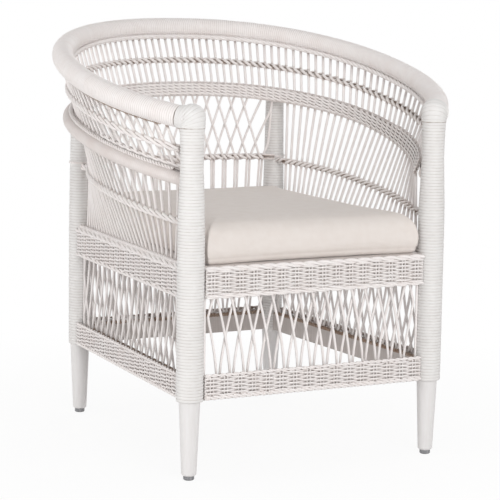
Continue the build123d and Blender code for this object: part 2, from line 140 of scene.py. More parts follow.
leg_names = ("front_left", "front_right", "rear_left", "rear_right")
leg_places = {name: np.array(middle_of(f"leg_{name}").xy) for name in leg_names}
front_line = leg_places["front_left"][1]
rear_line = leg_places["rear_left"][1]
leg_row_depth = rear_line - front_line
seat_rail_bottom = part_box("seat_rail_front")[0].z
seat_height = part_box("seat_rail_front")[1].z
lower_rail_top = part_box("lower_rail_front")[1].z
wrap_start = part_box("leg_wrap_front_left")[0].z
cap_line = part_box("leg_wrap_front_left")[1].z
rear_leg_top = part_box("leg_wrap_rear_left")[1].z
print("legs at", {name: tuple(np.round(place, 3)) for name, place in leg_places.items()})

# %% [markdown]
# The two rails are horseshoes that rise towards the back. In plan each is an ellipse in front of its
# widest point and a fuller, squarer curve behind it. They could be drawn by hand as curves, but a
# formula gives a place anywhere along a rail, and everything that is tied to a rail needs such places.
# So the lines come first, with tools to pick, lift and move parts of them.

# %% Lines of the rails
top_rail_radius = 20 * mm
top_rail_front_height = 636.5 * mm
top_rail_slope = 0.209
middle_rail_radius = 11.5 * mm
middle_rail_front_height = 523 * mm
middle_rail_slope = 0.2025
middle_rail_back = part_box("middle_rail_wrap")[1].y - middle_rail_radius - front_line


def top_height(y):
    """Height of the top rail's centre at a depth."""
    return top_rail_front_height + top_rail_slope * (y - front_line)


def middle_height(y):
    """Height of the middle rail's centre at a depth."""
    return middle_rail_front_height + middle_rail_slope * (y - front_line)


def horseshoe(half_width, widest, front_half_width, back, squareness):
    """A rail in plan, from its left front end round the back to its right front end."""
    reach = widest / math.sqrt(1 - (front_half_width / half_width) ** 2)
    turn = np.linspace(-math.asin(widest / reach), math.pi / 2, 500)
    across = np.maximum(np.cos(turn), 0)
    along = np.sin(turn)
    x = half_width * np.where(turn < 0, across, across ** (2 / squareness))
    y = widest + np.where(turn < 0, reach * along, (back - widest) * np.abs(along) ** (2 / squareness))
    right = np.column_stack([x, front_line + y])
    return np.vstack([right * (-1, 1), right[-2::-1]])


def behind(plan, distance):
    """The part of a plan line that lies a distance or more behind the front legs."""
    return plan[plan[:, 1] >= front_line + distance]


def unit(rows):
    """Rows of vectors, each one long."""
    return rows / np.linalg.norm(rows, axis=1, keepdims=True)


def level_out(line):
    """At each point of a line that runs left to right, the level direction away from the seat."""
    run = np.gradient(line[:, :2], axis=0)
    return unit(np.column_stack([-run[:, 1], run[:, 0], np.zeros(len(line))]))


def inset(plan, distance):
    """A plan line moved square to itself, towards the seat."""
    return plan - level_out(plan)[:, :2] * distance


def at_shares(line, shares):
    """Points at shares of a line's length in plan."""
    steps = np.linalg.norm(np.diff(line[:, :2], axis=0), axis=1)
    reached = np.concatenate([[0], np.cumsum(steps)]) / steps.sum()
    return np.column_stack([np.interp(shares, reached, column) for column in line.T])


def at_height(plan, height):
    """A plan line lifted to a height that depends on the depth."""
    return np.column_stack([plan, height(plan[:, 1])])


def length_of(line):
    """The length of a line of points."""
    return np.linalg.norm(np.diff(line, axis=0), axis=1).sum()


top_plan = horseshoe(
    half_width=340 * mm, widest=262 * mm, front_half_width=247 * mm, back=637 * mm, squareness=2.22
)
middle_plan = horseshoe(
    half_width=325 * mm, widest=295 * mm, front_half_width=225 * mm, back=middle_rail_back, squareness=2.2
)
print("rails of", round(length_of(top_plan), 3), "and", round(length_of(middle_plan), 3), "m in plan")

# %% [markdown]
# Finishes are built from a few kinds of node again and again: a mix, a noise, a stretched range and a
# sum. Small functions add them to a node tree, so that a material reads as a short recipe.


# %% Tools for finishes
def feed(tree, socket, value):
    """Link a value into a socket, or set it there if it's a plain number or colour."""
    if isinstance(value, bpy.types.NodeSocket):
        tree.links.new(value, socket)
    else:
        socket.default_value = value


def mixed(tree, factor, first, second):
    """A mix of two colours."""
    mix = tree.nodes.new("ShaderNodeMix")
    mix.data_type = "RGBA"
    for socket, value in ((0, factor), (6, first), (7, second)):
        feed(tree, mix.inputs[socket], value)
    return mix.outputs[2]


def computed(tree, operation, first, second, clamp=False):
    """The result of a sum or a product."""
    node = tree.nodes.new("ShaderNodeMath")
    node.operation = operation
    node.use_clamp = clamp
    feed(tree, node.inputs[0], first)
    feed(tree, node.inputs[1], second)
    return node.outputs[0]


def noise(tree, coordinates, scale, detail=3.0):
    """A noise value over coordinates."""
    texture = tree.nodes.new("ShaderNodeTexNoise")
    for socket, value in (("Vector", coordinates), ("Scale", scale), ("Detail", detail)):
        feed(tree, texture.inputs[socket], value)
    return texture.outputs["Fac"]


def stretched(tree, coordinates, scale):
    """Coordinates scaled by a different number along each axis."""
    mapping = tree.nodes.new("ShaderNodeMapping")
    feed(tree, mapping.inputs["Vector"], coordinates)
    feed(tree, mapping.inputs["Scale"], scale)
    return mapping.outputs["Vector"]


def spread(tree, value, low, high, to_low=0.0, to_high=1.0):
    """A value's range stretched to another range."""
    ramp = tree.nodes.new("ShaderNodeMapRange")
    names = ("Value", "From Min", "From Max", "To Min", "To Max")
    for socket, number in zip(names, (value, low, high, to_low, to_high)):
        feed(tree, ramp.inputs[socket], number)
    return ramp.outputs["Result"]


def attribute(tree, name):
    """A number that the mesh carries."""
    node = tree.nodes.new("ShaderNodeAttribute")
    node.attribute_name = name
    return node.outputs["Fac"]


def new_material(name):
    """A material with its principled shader and its object coordinates."""
    material = bpy.data.materials.new(name)
    material.use_nodes = True
    tree = material.node_tree
    where = tree.nodes.new("ShaderNodeTexCoord").outputs["Object"]
    return material, tree, tree.nodes["Principled BSDF"], where


def cover(tree, shader, colour, roughness, height, strength, depth):
    """Feed a shader its colour and roughness, and its normal through a bump."""
    bump = tree.nodes.new("ShaderNodeBump")
    feed(tree, bump.inputs["Height"], height)
    feed(tree, bump.inputs["Strength"], strength)
    feed(tree, bump.inputs["Distance"], depth)
    feed(tree, shader.inputs["Base Color"], colour)
    feed(tree, shader.inputs["Roughness"], roughness)
    feed(tree, shader.inputs["Normal"], bump.outputs["Normal"])


# %% [markdown]
# Paint on basket work is thickest on the crowns of the canes and thin where one cane tucks behind
# another, so the bare cane shows there as a warm brown. The same brown is painted shade as well: it
# darkens the gaps, grooves and joints where shadow falls. One node group holds that: it takes a paint
# colour, a cane colour and a mask, and puts out the colour, the roughness and a fine grain height.
# The mask is stored on the meshes as they are modelled, so it stays with the weave from any side.


# %% Finishes of the basket work
def make_painted_cane_group():
    """Paint over cane: blotchy paint, bare cane and painted shade where it is tucked away, and a fibre
    grain.
    """
    group = bpy.data.node_groups.new("painted_cane", "ShaderNodeTree")
    colour, number, vector = "NodeSocketColor", "NodeSocketFloat", "NodeSocketVector"
    inputs = {"Coordinates": vector, "Paint": colour, "Thin paint": colour, "Cane": colour, "Bare and shade": number}
    outputs = {"Color": colour, "Roughness": number, "Height": number}
    for way, sockets in (("INPUT", inputs), ("OUTPUT", outputs)):
        for socket, kind in sockets.items():
            group.interface.new_socket(socket, in_out=way, socket_type=kind)
    taken = group.nodes.new("NodeGroupInput").outputs
    given = group.nodes.new("NodeGroupOutput").inputs
    where = taken["Coordinates"]
    patches = spread(group, noise(group, where, 28), 0.35, 0.7)
    paint = mixed(group, patches, taken["Paint"], taken["Thin paint"])
    wear = spread(group, noise(group, where, 90), 0.3, 0.6, 0.35, 1.0)
    # The mask turns the paint to brown cane: partly bare cane, partly painted shade in the gaps.
    worn = computed(group, "MULTIPLY", taken["Bare and shade"], wear)
    grain = noise(group, where, 1400, 2.0)
    feed(group, given["Color"], mixed(group, worn, paint, taken["Cane"]))
    feed(group, given["Roughness"], spread(group, grain, 0.3, 0.7, 0.46, 0.62))
    feed(group, given["Height"], grain)
    return group


painted_cane_group = make_painted_cane_group()
# Dark brown of bare cane, also used as painted shade in gaps, grooves and joints.
bare_and_shade_brown = (0.22, 0.14, 0.095, 1)


def make_cane_finish(name, paint, thin):
    """A finish for basket work. It reads the mask that the mesh carries."""
    material, tree, shader, where = new_material(name)
    cane = tree.nodes.new("ShaderNodeGroup")
    cane.node_tree = painted_cane_group
    values = {"Coordinates": where, "Paint": paint, "Thin paint": thin, "Cane": bare_and_shade_brown,
              "Bare and shade": attribute(tree, "bare_and_shade")}
    for socket, value in values.items():
        feed(tree, cane.inputs[socket], value)
    cover(tree, shader, *cane.outputs, 0.35, 0.3 * mm)
    shader.inputs["Specular IOR Level"].default_value = 0.4
    return material


# Copies of one warm white. The weave's is lighter than the poles': painted light that makes up for the shade
# among its round canes.
white_cane = make_cane_finish("white_cane", (0.78, 0.768, 0.758, 1), (0.755, 0.738, 0.727, 1))
lightened_woven_cane = make_cane_finish("lightened_woven_cane", (0.875, 0.84, 0.828, 1), (0.845, 0.795, 0.777, 1))
# A darker, pinker copy of the paint: worn thin, and partly painted shade.
worn_shaded_cane = make_cane_finish("worn_shaded_cane", (0.74, 0.69, 0.67, 1), (0.70, 0.635, 0.61, 1))
brown_cane = make_cane_finish("brown_cane", (0.30, 0.20, 0.14, 1), (0.42, 0.33, 0.27, 1))
print("finishes:", white_cane.name, lightened_woven_cane.name, worn_shaded_cane.name, brown_cane.name)

# %% [markdown]
# The legs and rails are wound with flat peel. Each turn lies against the last, so the surface is a
# stack of soft ridges with a fine shadow line between them. One turn is modelled from a circle that
# is extruded upwards and swelled, and an array stacks the turns. A screw would give a true helix, but
# at this pitch it leans by less than four degrees, which hardly shows.

# %% Turns of peel
peel_profile = ((0.0, 0.0), (0.16, 0.62), (0.34, 0.95), (0.66, 0.95), (0.84, 0.62), (1.0, 0.0))


def ringed(name, sides, rings):
    """A skin drawn from a circle: each ring is extruded from the last. It stays in edit mode."""
    clear_selection()
    reached, height = rings[0]
    bpy.ops.mesh.primitive_circle_add(vertices=sides, radius=reached)
    skin = bpy.context.object
    skin.name = name
    bpy.ops.object.mode_set(mode="EDIT")
    bpy.ops.mesh.select_all(action="SELECT")
    for radius, level in rings[1:]:
        bpy.ops.mesh.extrude_region_move(TRANSFORM_OT_translate={"value": (0, 0, level - height)})
        bpy.ops.transform.resize(value=(radius / reached, radius / reached, 1))
        reached, height = radius, level
    return skin


def close_ends(skin):
    """Fill a skin's open ends with flat faces, and turn every face outwards."""
    bpy.ops.object.mode_set(mode="EDIT")
    bpy.ops.mesh.select_all(action="SELECT")
    bpy.ops.mesh.fill_holes(sides=0)
    bpy.ops.mesh.select_all(action="SELECT")
    bpy.ops.mesh.normals_make_consistent(inside=False)
    bpy.ops.object.mode_set(mode="OBJECT")
    for face in skin.data.polygons:
        face.use_smooth = len(face.vertices) <= 4


def wound_tube(name, length, radius, pitch, relief, sides, bare_shade_share=0.4):
    """A straight tube of peel turns that stands on the origin."""
    turns = round(length / pitch)
    pitch = length / turns
    groove = radius - relief
    tube = ringed(name, sides, [(groove + relief * swell, share * pitch) for share, swell in peel_profile])
    bpy.ops.object.mode_set(mode="OBJECT")
    rise = points_of(tube)[:, 2] / pitch
    # The grooves between turns are marked dark: painted shade in them, with some bare cane.
    mark(tube, "bare_and_shade", np.where(np.abs(rise - 0.5) > 0.49, bare_shade_share, 0.0))
    apply_modifier(
        tube, "ARRAY", count=turns, use_relative_offset=False, use_constant_offset=True,
        constant_offset_displace=(0, 0, pitch), use_merge_vertices=True, merge_threshold=pitch / 100,
    )
    points = points_of(tube)
    turn = np.clip((points[:, 2] / pitch - 0.001).astype(int), 0, turns - 1)
    uneven = 1 + rng.uniform(-0.25, 0.25, turns)[turn] * relief / radius
    points[:, :2] *= uneven[:, None]
    move_points(tube, points)
    close_ends(tube)
    return tube


# %% [markdown]
# Every leg is wound from just above its bare foot. The front wraps narrow towards the arm, and the
# rear ones end at the middle rail in a small coiled dome. The straight stack is made first and its
# points are then drawn in to that outline, which keeps the turns level.

# %% Leg wraps
leg_peel = 5.6 * mm
leg_relief = 0.75 * mm
wrap_radius = {"front": 24.5 * mm, "rear": 22.5 * mm}
wrap_top = {"front": cap_line, "rear": rear_leg_top}
wrap_outlines = {
    "front": ((380, 460, 500, 555, 590, 621), (24.5, 24.1, 22.7, 20.5, 20.9, 22.0)),
    "rear": ((380, 634), (22.5, 18.5)),
}
dome_radius = 18.2 * mm
dome_rise = 4 * mm
dome_sink = 0.4 * mm


def row_of(leg):
    """Whether a leg stands in front or at the rear."""
    return leg.split("_")[0]


def domed_top(name, radius, rise, coils=4):
    """A coil of peel over the top of a pole: rings drawn in and up from its edge, closed in the middle."""
    rings = [(radius, 0.0)]
    for share in np.linspace(0.95, 0.05, 19):
        ridge = abs(math.sin(math.pi * coils * share)) ** 0.6
        rings.append((radius * share, rise * (1 - share**2.4) - (1 - ridge) * leg_relief))
    lid = ringed(name, 32, rings)
    bpy.ops.mesh.merge(type="CENTER")
    bpy.ops.object.mode_set(mode="OBJECT")
    close_ends(lid)
    return lid


for name, place in leg_places.items():
    row = row_of(name)
    low, top = wrap_radius[row], wrap_top[row]
    wrap = wound_tube(f"leg_peel_{name}", top - wrap_start, low, leg_peel, leg_relief, sides=32)
    points = points_of(wrap)
    points[:, 2] += wrap_start
    heights, radii = wrap_outlines[row]
    points[:, :2] *= (np.interp(points[:, 2] / mm, heights, radii) * mm / low)[:, None]
    move_points(wrap, points)
    if row == "rear":
        lid = domed_top(f"lid_{name}", dome_radius, dome_rise)
        move_points(lid, points_of(lid) + (0, 0, top - dome_sink))
        wrap = join(wrap.name, [wrap, lid])
    move_points(wrap, points_of(wrap) + (*place, 0))
    dress(wrap, white_cane, [f"leg_wrap_{name}"])
    print(wrap.name, "of", len(wrap.data.polygons), "faces")

# %% [markdown]
# The rails are wound in the same way, with narrower peel. Their stacks of turns are bent along the
# lines of the rails by a curve modifier, end to end. The thin middle rail is worn smooth, and its paint
# is darker and pinker: worn thin, and partly painted shade.


# %% Wound rails
def new_curve(name, lines):
    """A curve with one run of straight steps along each line of points."""
    clear_selection()
    bpy.ops.curve.primitive_nurbs_path_add()
    bundle = bpy.context.object
    bundle.name = name
    bundle.data.splines.clear()
    for line in lines:
        spline = bundle.data.splines.new("POLY")
        spline.points.add(len(line) - 1)
        spline.points.foreach_set("co", np.column_stack([line, np.ones(len(line))]).ravel())
        spline.use_smooth = True
    return bundle


def bend_along(tube, line):
    """Bend a straight tube along a line, end to end."""
    guide = new_curve("guide", [line])
    guide.data.twist_mode = "Z_UP"
    guide.data.use_stretch = True
    guide.data.use_deform_bounds = True
    make_active(tube)
    apply_modifier(tube, "CURVE", object=guide, deform_axis="POS_Z")
    bpy.data.objects.remove(guide)


rail_peel = 4.4 * mm
top_rail_relief = 0.65 * mm
top_rail_start = 18.6 * mm
middle_rail_relief = 0.22 * mm
middle_rail_start = 9.5 * mm
rail_shares = np.linspace(0, 1, 260)
top_line = at_shares(at_height(behind(top_plan, top_rail_start), top_height), rail_shares)
middle_line = at_shares(at_height(behind(middle_plan, middle_rail_start), middle_height), rail_shares)
top_wrap = wound_tube(
    "top_rail_peel", length_of(top_line), top_rail_radius, rail_peel, top_rail_relief, sides=24
)
bend_along(top_wrap, top_line)
dress(top_wrap, lightened_woven_cane, ["top_rail_wrap"])
middle_wrap = wound_tube(
    "middle_rail_peel", length_of(middle_line), middle_rail_radius, rail_peel, middle_rail_relief,
    sides=16, bare_shade_share=0.15,
)
bend_along(middle_wrap, middle_line)
dress(middle_wrap, worn_shaded_cane, ["middle_rail_wrap"])
print("top rail", round(length_of(top_line), 3), "m,", len(top_wrap.data.polygons), "faces")

# %% [markdown]
# Each arm turns down onto its leg in a wound elbow. The peel fans out there: every turn passes through
# the inside corner of the bend, and the turns spread over the round outside. A ball, a stub of the
# rail and a collar are joined into one skin by a remesh, and its points are then pressed in along the
# lines of that fan, as a thumb would press grooves into clay. The two joints get a dark seam of bare
# cane, which also stands in for the shade in the gap, and the grooves of the fan get some painted shade.

# %% Arm caps
cap_radius = 23.5 * mm
cap_rise = 42.5 * mm
cap_centre_height = cap_line + cap_rise - cap_radius
cap_turns = 11
cap_fan = math.radians(102)
cap_relief = 0.9 * mm
cap_relief_reach = 24 * mm
cap_seam = 17.4 * mm
stub_length = 18 * mm
collar_radius = 22.8 * mm
bend_back = 22 * mm
bend_drop = 2 * mm


def add_stub(start, end, first, last):
    """A short round bar from point to point, with a radius at each end."""
    run = Vector(end - start)
    bpy.ops.mesh.primitive_cone_add(
        vertices=64, radius1=first, radius2=last, depth=run.length, location=(start + end) / 2,
        rotation=run.to_track_quat("Z", "Y").to_euler(),
    )
    bpy.ops.object.transform_apply(location=True, rotation=True)
    return bpy.context.object


def make_cap(side, rail_end, into_rail):
    """A wound elbow between an arm's rail and its leg."""
    place = leg_places[f"front_{side}"]
    centre = np.array([*place, cap_centre_height])
    clear_selection()
    bpy.ops.mesh.primitive_uv_sphere_add(segments=64, ring_count=32, radius=cap_radius, location=centre)
    bpy.ops.object.transform_apply(location=True)
    ball = bpy.context.object
    stub_start = rail_end - into_rail * stub_length
    stub = add_stub(stub_start, rail_end, cap_radius - 0.5 * mm, top_rail_radius + 0.5 * mm)
    collar_start = np.array([*place, cap_line - 1 * mm])
    collar = add_stub(collar_start, centre, collar_radius, cap_radius - 0.2 * mm)
    cap = join(f"arm_cap_peel_{side}", [ball, stub, collar])
    cap.data.remesh_voxel_size = 0.8 * mm
    bpy.ops.object.voxel_remesh()
    apply_modifier(cap, "SMOOTH", factor=0.5, iterations=14)
    points = points_of(cap)
    normals = np.empty(points.size)
    cap.data.vertex_normals.foreach_get("vector", normals)
    forward = -unit(np.array([[*into_rail[:2], 0.0]]))[0]
    corner = np.array([*place, cap_line - bend_drop]) - forward * bend_back
    reach = np.column_stack([(points - corner) @ forward, points[:, 2] - corner[2]])
    fan = np.arctan2(reach[:, 1], reach[:, 0]) / cap_fan * cap_turns
    ridge = np.abs(np.sin(math.pi * fan)) ** 0.7
    depth = np.clip(np.linalg.norm(reach, axis=1) / cap_relief_reach, 0, 1) * cap_relief
    move_points(cap, points - normals.reshape(-1, 3) * ((1 - ridge) * depth)[:, None])
    seams = (points[:, 2] < cap_line + 0.6 * mm) | ((points - rail_end) @ into_rail > -0.9 * mm)
    # Seams dark as bare cane and painted shade in the gap; the fan's grooves get lighter painted shade.
    mark(cap, "bare_and_shade", np.where(seams, 0.8, np.where(ridge < 0.3, 0.3, 0.0)))
    bpy.ops.object.shade_smooth()
    return cap


rail_runs = unit(np.gradient(top_line, axis=0))
for side, end, way in (("left", 0, 1), ("right", -1, -1)):
    into_rail = rail_runs[end] * way
    seam = top_line[end] - into_rail * (top_rail_start - cap_seam)
    cap = make_cap(side, seam, into_rail)
    dress(cap, white_cane, [f"arm_cap_{side}"])
    print("cap", side, "of", len(cap.data.polygons), "faces")

# %% [markdown]
# The uprights are the stakes of the basket. They're round cane, never quite straight or even, so each
# line gets a slight bow and a slight change of thickness before it becomes a tube. A cane is a curve
# with a round bevel, made a mesh once its line is right: that keeps it round, which pulling at a
# finished tube would not. Canes run a little way into the wraps and bands, so no end hangs free.


# %% Upper canes
def canes(name, lines, radius, sides=8, uneven=0.0):
    """Round canes, one along each line of points."""
    bundle = new_curve(name, lines)
    for spline, line in zip(bundle.data.splines, lines):
        spline.points.foreach_set("radius", 1 + uneven * rng.uniform(-1, 1, len(line)))
    bundle.data.bevel_depth = radius
    bundle.data.bevel_resolution = (sides - 4) // 2
    bundle.data.use_fill_caps = True
    bpy.ops.object.convert(target="MESH")
    return bpy.context.object


strand_radius = 2.75 * mm
side_count = 29
back_count = 32
strand_gap = 3.6 * mm
strand_offset = middle_rail_radius + strand_radius + strand_gap
strand_start = 28 * mm
side_end = rear_line - 55 * mm
crowding = 0.21
inner_plan = behind(inset(middle_plan, strand_offset), strand_start)
under_plan = behind(top_plan, strand_start)
left_plan = inner_plan[(inner_plan[:, 0] < 0) & (inner_plan[:, 1] <= side_end)]
side_length = length_of(left_plan) / length_of(inner_plan)
side_steps = (np.arange(side_count) + 0.5) / side_count
side_shares = side_steps + crowding * side_steps * (1 - side_steps)
upper_groups = {
    "left": side_length * side_shares,
    "back": side_length + (1 - 2 * side_length) * (np.arange(back_count) + 0.5) / back_count,
    "right": 1 - side_length * side_shares[::-1],
}
upper_shares = np.concatenate(list(upper_groups.values()))
upper_count = len(upper_shares)


def upper_feet(share):
    """Where the upper canes pass the middle rail."""
    return at_height(at_shares(inner_plan, share), middle_height)


def upper_heads(share):
    """Where the upper canes reach the top rail's underside."""
    heads = at_height(at_shares(under_plan, share), top_height)
    heads[:, 2] -= top_rail_radius
    return heads


def bowed(foot, head, before=0.0, after=0.0, bow=0.5 * mm, steps=30):
    """A nearly straight line of points that overshoots its ends a little."""
    run = head - foot
    length = np.linalg.norm(run)
    share = np.linspace(-before / length, 1 + after / length, steps)
    sway = np.sin(math.pi * share)[:, None] * rng.uniform(-bow, bow, 3)
    return foot + run * share[:, None] + sway


def upright_lines(feet, heads, before, after):
    """Bowed lines between rows of feet and heads."""
    return [bowed(foot, head, before, after) for foot, head in zip(feet, heads)]


uprights = []
for group, chosen in upper_groups.items():
    lines = upright_lines(upper_feet(chosen), upper_heads(chosen), before=0, after=6 * mm)
    strands = canes(f"upper_canes_{group}", lines, strand_radius, uneven=0.06)
    dress(strands, lightened_woven_cane, [f"upper_strands_{group}"])
    uprights.append(strands)
print("uprights above the middle rail:", upper_count)

# %% [markdown]
# Below the middle rail the sides go on with canes that stand on the seat rail. They lean outwards, and
# the spacing follows the upper ones. The left side is laid out, and the right side is its mirror image.

# %% Lower canes
front_margin = 38 * mm
rear_margin = 40 * mm
mirrored = np.array([-1, 1, 1])


def side_line(y):
    """Half the spacing of the leg centres at a depth."""
    share = (y - front_line) / leg_row_depth
    front, rear = leg_places["front_right"][0], leg_places["rear_right"][0]
    return front + (rear - front) * share


def side_feet(share):
    """Where the canes of the left side stand on the seat rail."""
    y = front_line + front_margin + (leg_row_depth - front_margin - rear_margin) * share
    return np.column_stack([-side_line(y), y, np.full(len(y), seat_height)])


def side_heads(share):
    """Where the canes of the left side pass the middle rail."""
    return at_height(at_shares(left_plan, share), middle_height)


for side, flip in (("left", np.ones(3)), ("right", mirrored)):
    feet, heads = side_feet(side_shares) * flip, side_heads(side_shares) * flip
    lines = upright_lines(feet, heads, before=5 * mm, after=2 * mm)
    strands = canes(f"lower_canes_{side}", lines, strand_radius, uneven=0.06)
    dress(strands, lightened_woven_cane, [f"lower_strands_{side}"])
    uprights.append(strands)
print("uprights below the middle rail:", 2 * side_count)

# %% [markdown]
# The lattices are two layers of slanted canes that cross into long diamonds. Each layer drifts over
# the panel's height, one to the left and one to the right. A straight slant would make even diamonds,
# but the real canes leave their edge upright and lean more and more. In front and at the rear they
# start upright at the bottom, and on the sides they start in pairs at the top.

# %% Lattices under the seat
lattice_radius = 2.4 * mm
lattice_gap = 0.6 * mm
pair_gap = 8 * mm
layer_offset = lattice_radius + lattice_gap / 2
under_pitch = 27 * mm
under_ease = 1.5
front_drift = 35 * mm
side_drift = 46 * mm
sides = {
    "front": ("front_right", "front_left"),
    "left": ("front_left", "rear_left"),
    "rear": ("rear_left", "rear_right"),
    "right": ("rear_right", "front_right"),
}


def lattice_lines(half_width, pitch, drift, ease=1.0, from_top=False, turn_back=2):
    """Slanted lines over a panel, as layer and places across it, which turn back or up at its edges."""
    share = np.linspace(0, 1, 13)
    lean = (1 - share if from_top else share) ** ease
    lines = []
    count = math.floor((half_width - pair_gap / 2) / pitch)
    for way in (1, -1):
        for i in range(-count, count + 1):
            across = i * pitch + way * (pair_gap / 2 + drift * lean)
            over = np.maximum(np.abs(across) - half_width, 0)
            lines.append((way, across - turn_back * np.sign(across) * over))
    return share, lines


def panel_axes(leg_a, leg_b):
    """The middle between two legs, the way along, the way out, and half the distance."""
    a, b = leg_places[leg_a], leg_places[leg_b]
    half = np.linalg.norm(b - a) / 2
    along = (b - a) / (2 * half)
    return (a + b) / 2, along, np.array([-along[1], along[0]]), half


def under_panel_lines(legs, drift, from_top):
    """The canes between a lower rail and a seat rail, with an upright beside each leg."""
    centre, along, out, half = panel_axes(*legs)
    border = half - max(wrap_radius[row_of(leg)] for leg in legs) - strand_radius
    half_width = border - strand_radius - lattice_radius
    rise = seat_rail_bottom - lower_rail_top

    def place(distance, share, layer):
        flat = centre + np.outer(distance, along) + out * layer
        return np.column_stack([flat, lower_rail_top - 2 * mm + (rise + 4 * mm) * share])

    share, slanted = lattice_lines(half_width, under_pitch, drift, under_ease, from_top)
    sway = np.sin(math.pi * share)[:, None]
    lines = []
    for way, across in slanted:
        lines.append(place(across, share, way * layer_offset) + sway * rng.uniform(-0.9 * mm, 0.9 * mm, 3))
    for edge in (-border, border):
        lines.append(place(np.full(len(share), edge), share, 0) + sway * rng.uniform(-0.4 * mm, 0.4 * mm, 3))
    return lines


for side, legs in sides.items():
    on_side = side in ("left", "right")
    lines = under_panel_lines(legs, side_drift if on_side else front_drift, on_side)
    lattice = canes(f"lattice_canes_{side}", lines, lattice_radius, uneven=0.05)
    dress(lattice, lightened_woven_cane, [f"lattice_{side}"])
    print(side, "lattice of", len(lines), "canes")

# %% [markdown]
# The lattice in the back is tied to the middle rail and follows its curve, and its canes go on as
# uprights down to the seat. So each place is found from the rail's plan: across the back first, then
# down along the lean of the back.

# %% Back lattice
back_foot_height = 507 * mm
back_pitch = 25.5 * mm
back_drift = 44 * mm
rear_x = leg_places["rear_right"][0]
back_half_width = rear_x - wrap_radius["rear"] - lattice_radius - lattice_gap
lattice_offset = middle_rail_radius + lattice_gap + lattice_radius + layer_offset
back_plan = inset(middle_plan, lattice_offset)
back_plan = back_plan[(back_plan[:, 1] > front_line + 295 * mm) & (np.abs(back_plan[:, 0]) <= rear_x)]


def back_point(x, share, layer):
    """A point of the back lattice: across it, and up it by a share of its height."""
    y = np.interp(x, back_plan[:, 0], back_plan[:, 1])
    head = np.column_stack([x, y + layer, middle_height(y)])
    lift = (back_foot_height - seat_height) / (head[:, 2] - seat_height)
    foot_y = rear_line + layer + (y - rear_line) * lift
    foot = np.column_stack([x, foot_y, np.full(len(x), back_foot_height)])
    return foot + (head - foot) * np.asarray(share)[:, None]


back_lines = []
back_uprights = []
upright_places = []
share, slanted = lattice_lines(back_half_width, back_pitch, back_drift, turn_back=1)
for way, across in slanted:
    layer = way * layer_offset
    line = back_point(across, share, layer)
    back_lines.append(line + np.sin(math.pi * share)[:, None] * rng.uniform(-0.7 * mm, 0.7 * mm, 3))
    foot = np.array([across[0], rear_line + layer, seat_height])
    back_uprights.append(bowed(foot, line[0], before=5 * mm, after=1 * mm))
    upright_places.append(across[0])
back = canes("back_lattice_canes", back_lines, lattice_radius, uneven=0.05)
dress(back, lightened_woven_cane, ["back_lattice"])
back = canes("back_upright_canes", back_uprights, lattice_radius, uneven=0.05)
dress(back, lightened_woven_cane, ["back_uprights"])
uprights.append(back)
print("lattice canes in the back:", len(back_lines), "over", len(upright_places), "uprights")

# %% [markdown]
# A twined band holds the uprights apart. It's woven with three weavers: each one passes two uprights on
# the outside and the third on the inside, and the next follows one upright later. So each weaver is a
# wave that is stretched flat, out by the thickness of the upright and up by its own thickness. The
# points near the middle line are marked dark, because no brush reaches in there, and the mark is also
# painted shade between the weavers.


# %% Upper twine
def upwards(line, out):
    """At each point of a line, the direction square to it and to the way out, turned upwards."""
    up = np.cross(unit(np.gradient(line, axis=0)), out)
    return up * np.sign(up[:, 2:] + 1e-9)


def waled(line, out, turns, reach, rise):
    """Three weavers that each pass two uprights on the outside and the third on the inside."""
    up = upwards(line, out)
    lines = []
    for k in range(3):
        phase = (2 * math.pi * (turns + k) / 3)[:, None]
        away = np.tanh(2 * (np.cos(phase) + 0.5)) / math.tanh(3)
        lines.append(line + out * reach * away + up * rise * np.sin(phase))
    return lines


def mark_core(piece, lines, near, far, depth):
    """Mark the points of a twist near the lines it turns round, where paint doesn't reach: bare cane and
    painted shade.
    """
    core = np.vstack(lines)
    tree = KDTree(len(core))
    for i, point in enumerate(core):
        tree.insert(point, i)
    tree.balance()
    distance = np.array([tree.find(point)[2] for point in points_of(piece)])
    mark(piece, "bare_and_shade", depth * np.clip((far - distance) / (far - near), 0, 1))


weaver_radius = 2.9 * mm
weaver_rise = 3.9 * mm
twine_reach = strand_radius + 0.8 * weaver_radius
twine_core = {"near": 3.3 * mm, "far": 5.3 * mm, "depth": 1.0}
upper_twine_share = 0.58
per_upright = 8
fine_count = upper_count * per_upright
fine_shares = np.linspace(0.002, 0.998, fine_count)
fine_feet = upper_feet(fine_shares)
fine_heads = upper_heads(fine_shares)
fine_out = level_out(fine_feet)
upper_turns = np.interp(fine_shares, upper_shares, np.arange(upper_count))
twine_line = fine_feet + (fine_heads - fine_feet) * upper_twine_share
twine_lines = waled(twine_line, fine_out, upper_turns, twine_reach, weaver_rise)
twine = canes("upper_twine_weavers", twine_lines, weaver_radius)
mark_core(twine, [twine_line], **twine_core)
dress(twine, lightened_woven_cane, ["upper_twine"])
print("upper twine round", upper_count, "uprights,", len(twine.data.polygons), "faces")

# %% [markdown]
# The lower twine runs along both sides and across the back, under the middle rail. At each leg it's
# carried on into the wrap, and a thin rope is lashed round the rear legs where it meets them. A rope
# is plain strands twisted round a line, with a lay length for one full turn.


# %% Lower twine
lower_twine_share = 0.48
run_step = 2.5 * mm
run_pitch = 17 * mm
rear_wrap_core = 12 * mm
front_wrap_core = 16 * mm
post_radius = 20.9 * mm


def twisted(line, out, half_turns, out_reach, up_reach, strands=2):
    """Weavers twisted along a line, with a phase counted in half turns at each point."""
    up = upwards(line, out)
    lines = []
    for k in range(strands):
        phase = (math.pi * half_turns + 2 * math.pi * k / strands)[:, None]
        lines.append(line + out * out_reach * np.cos(phase) + up * up_reach * np.sin(phase))
    return lines


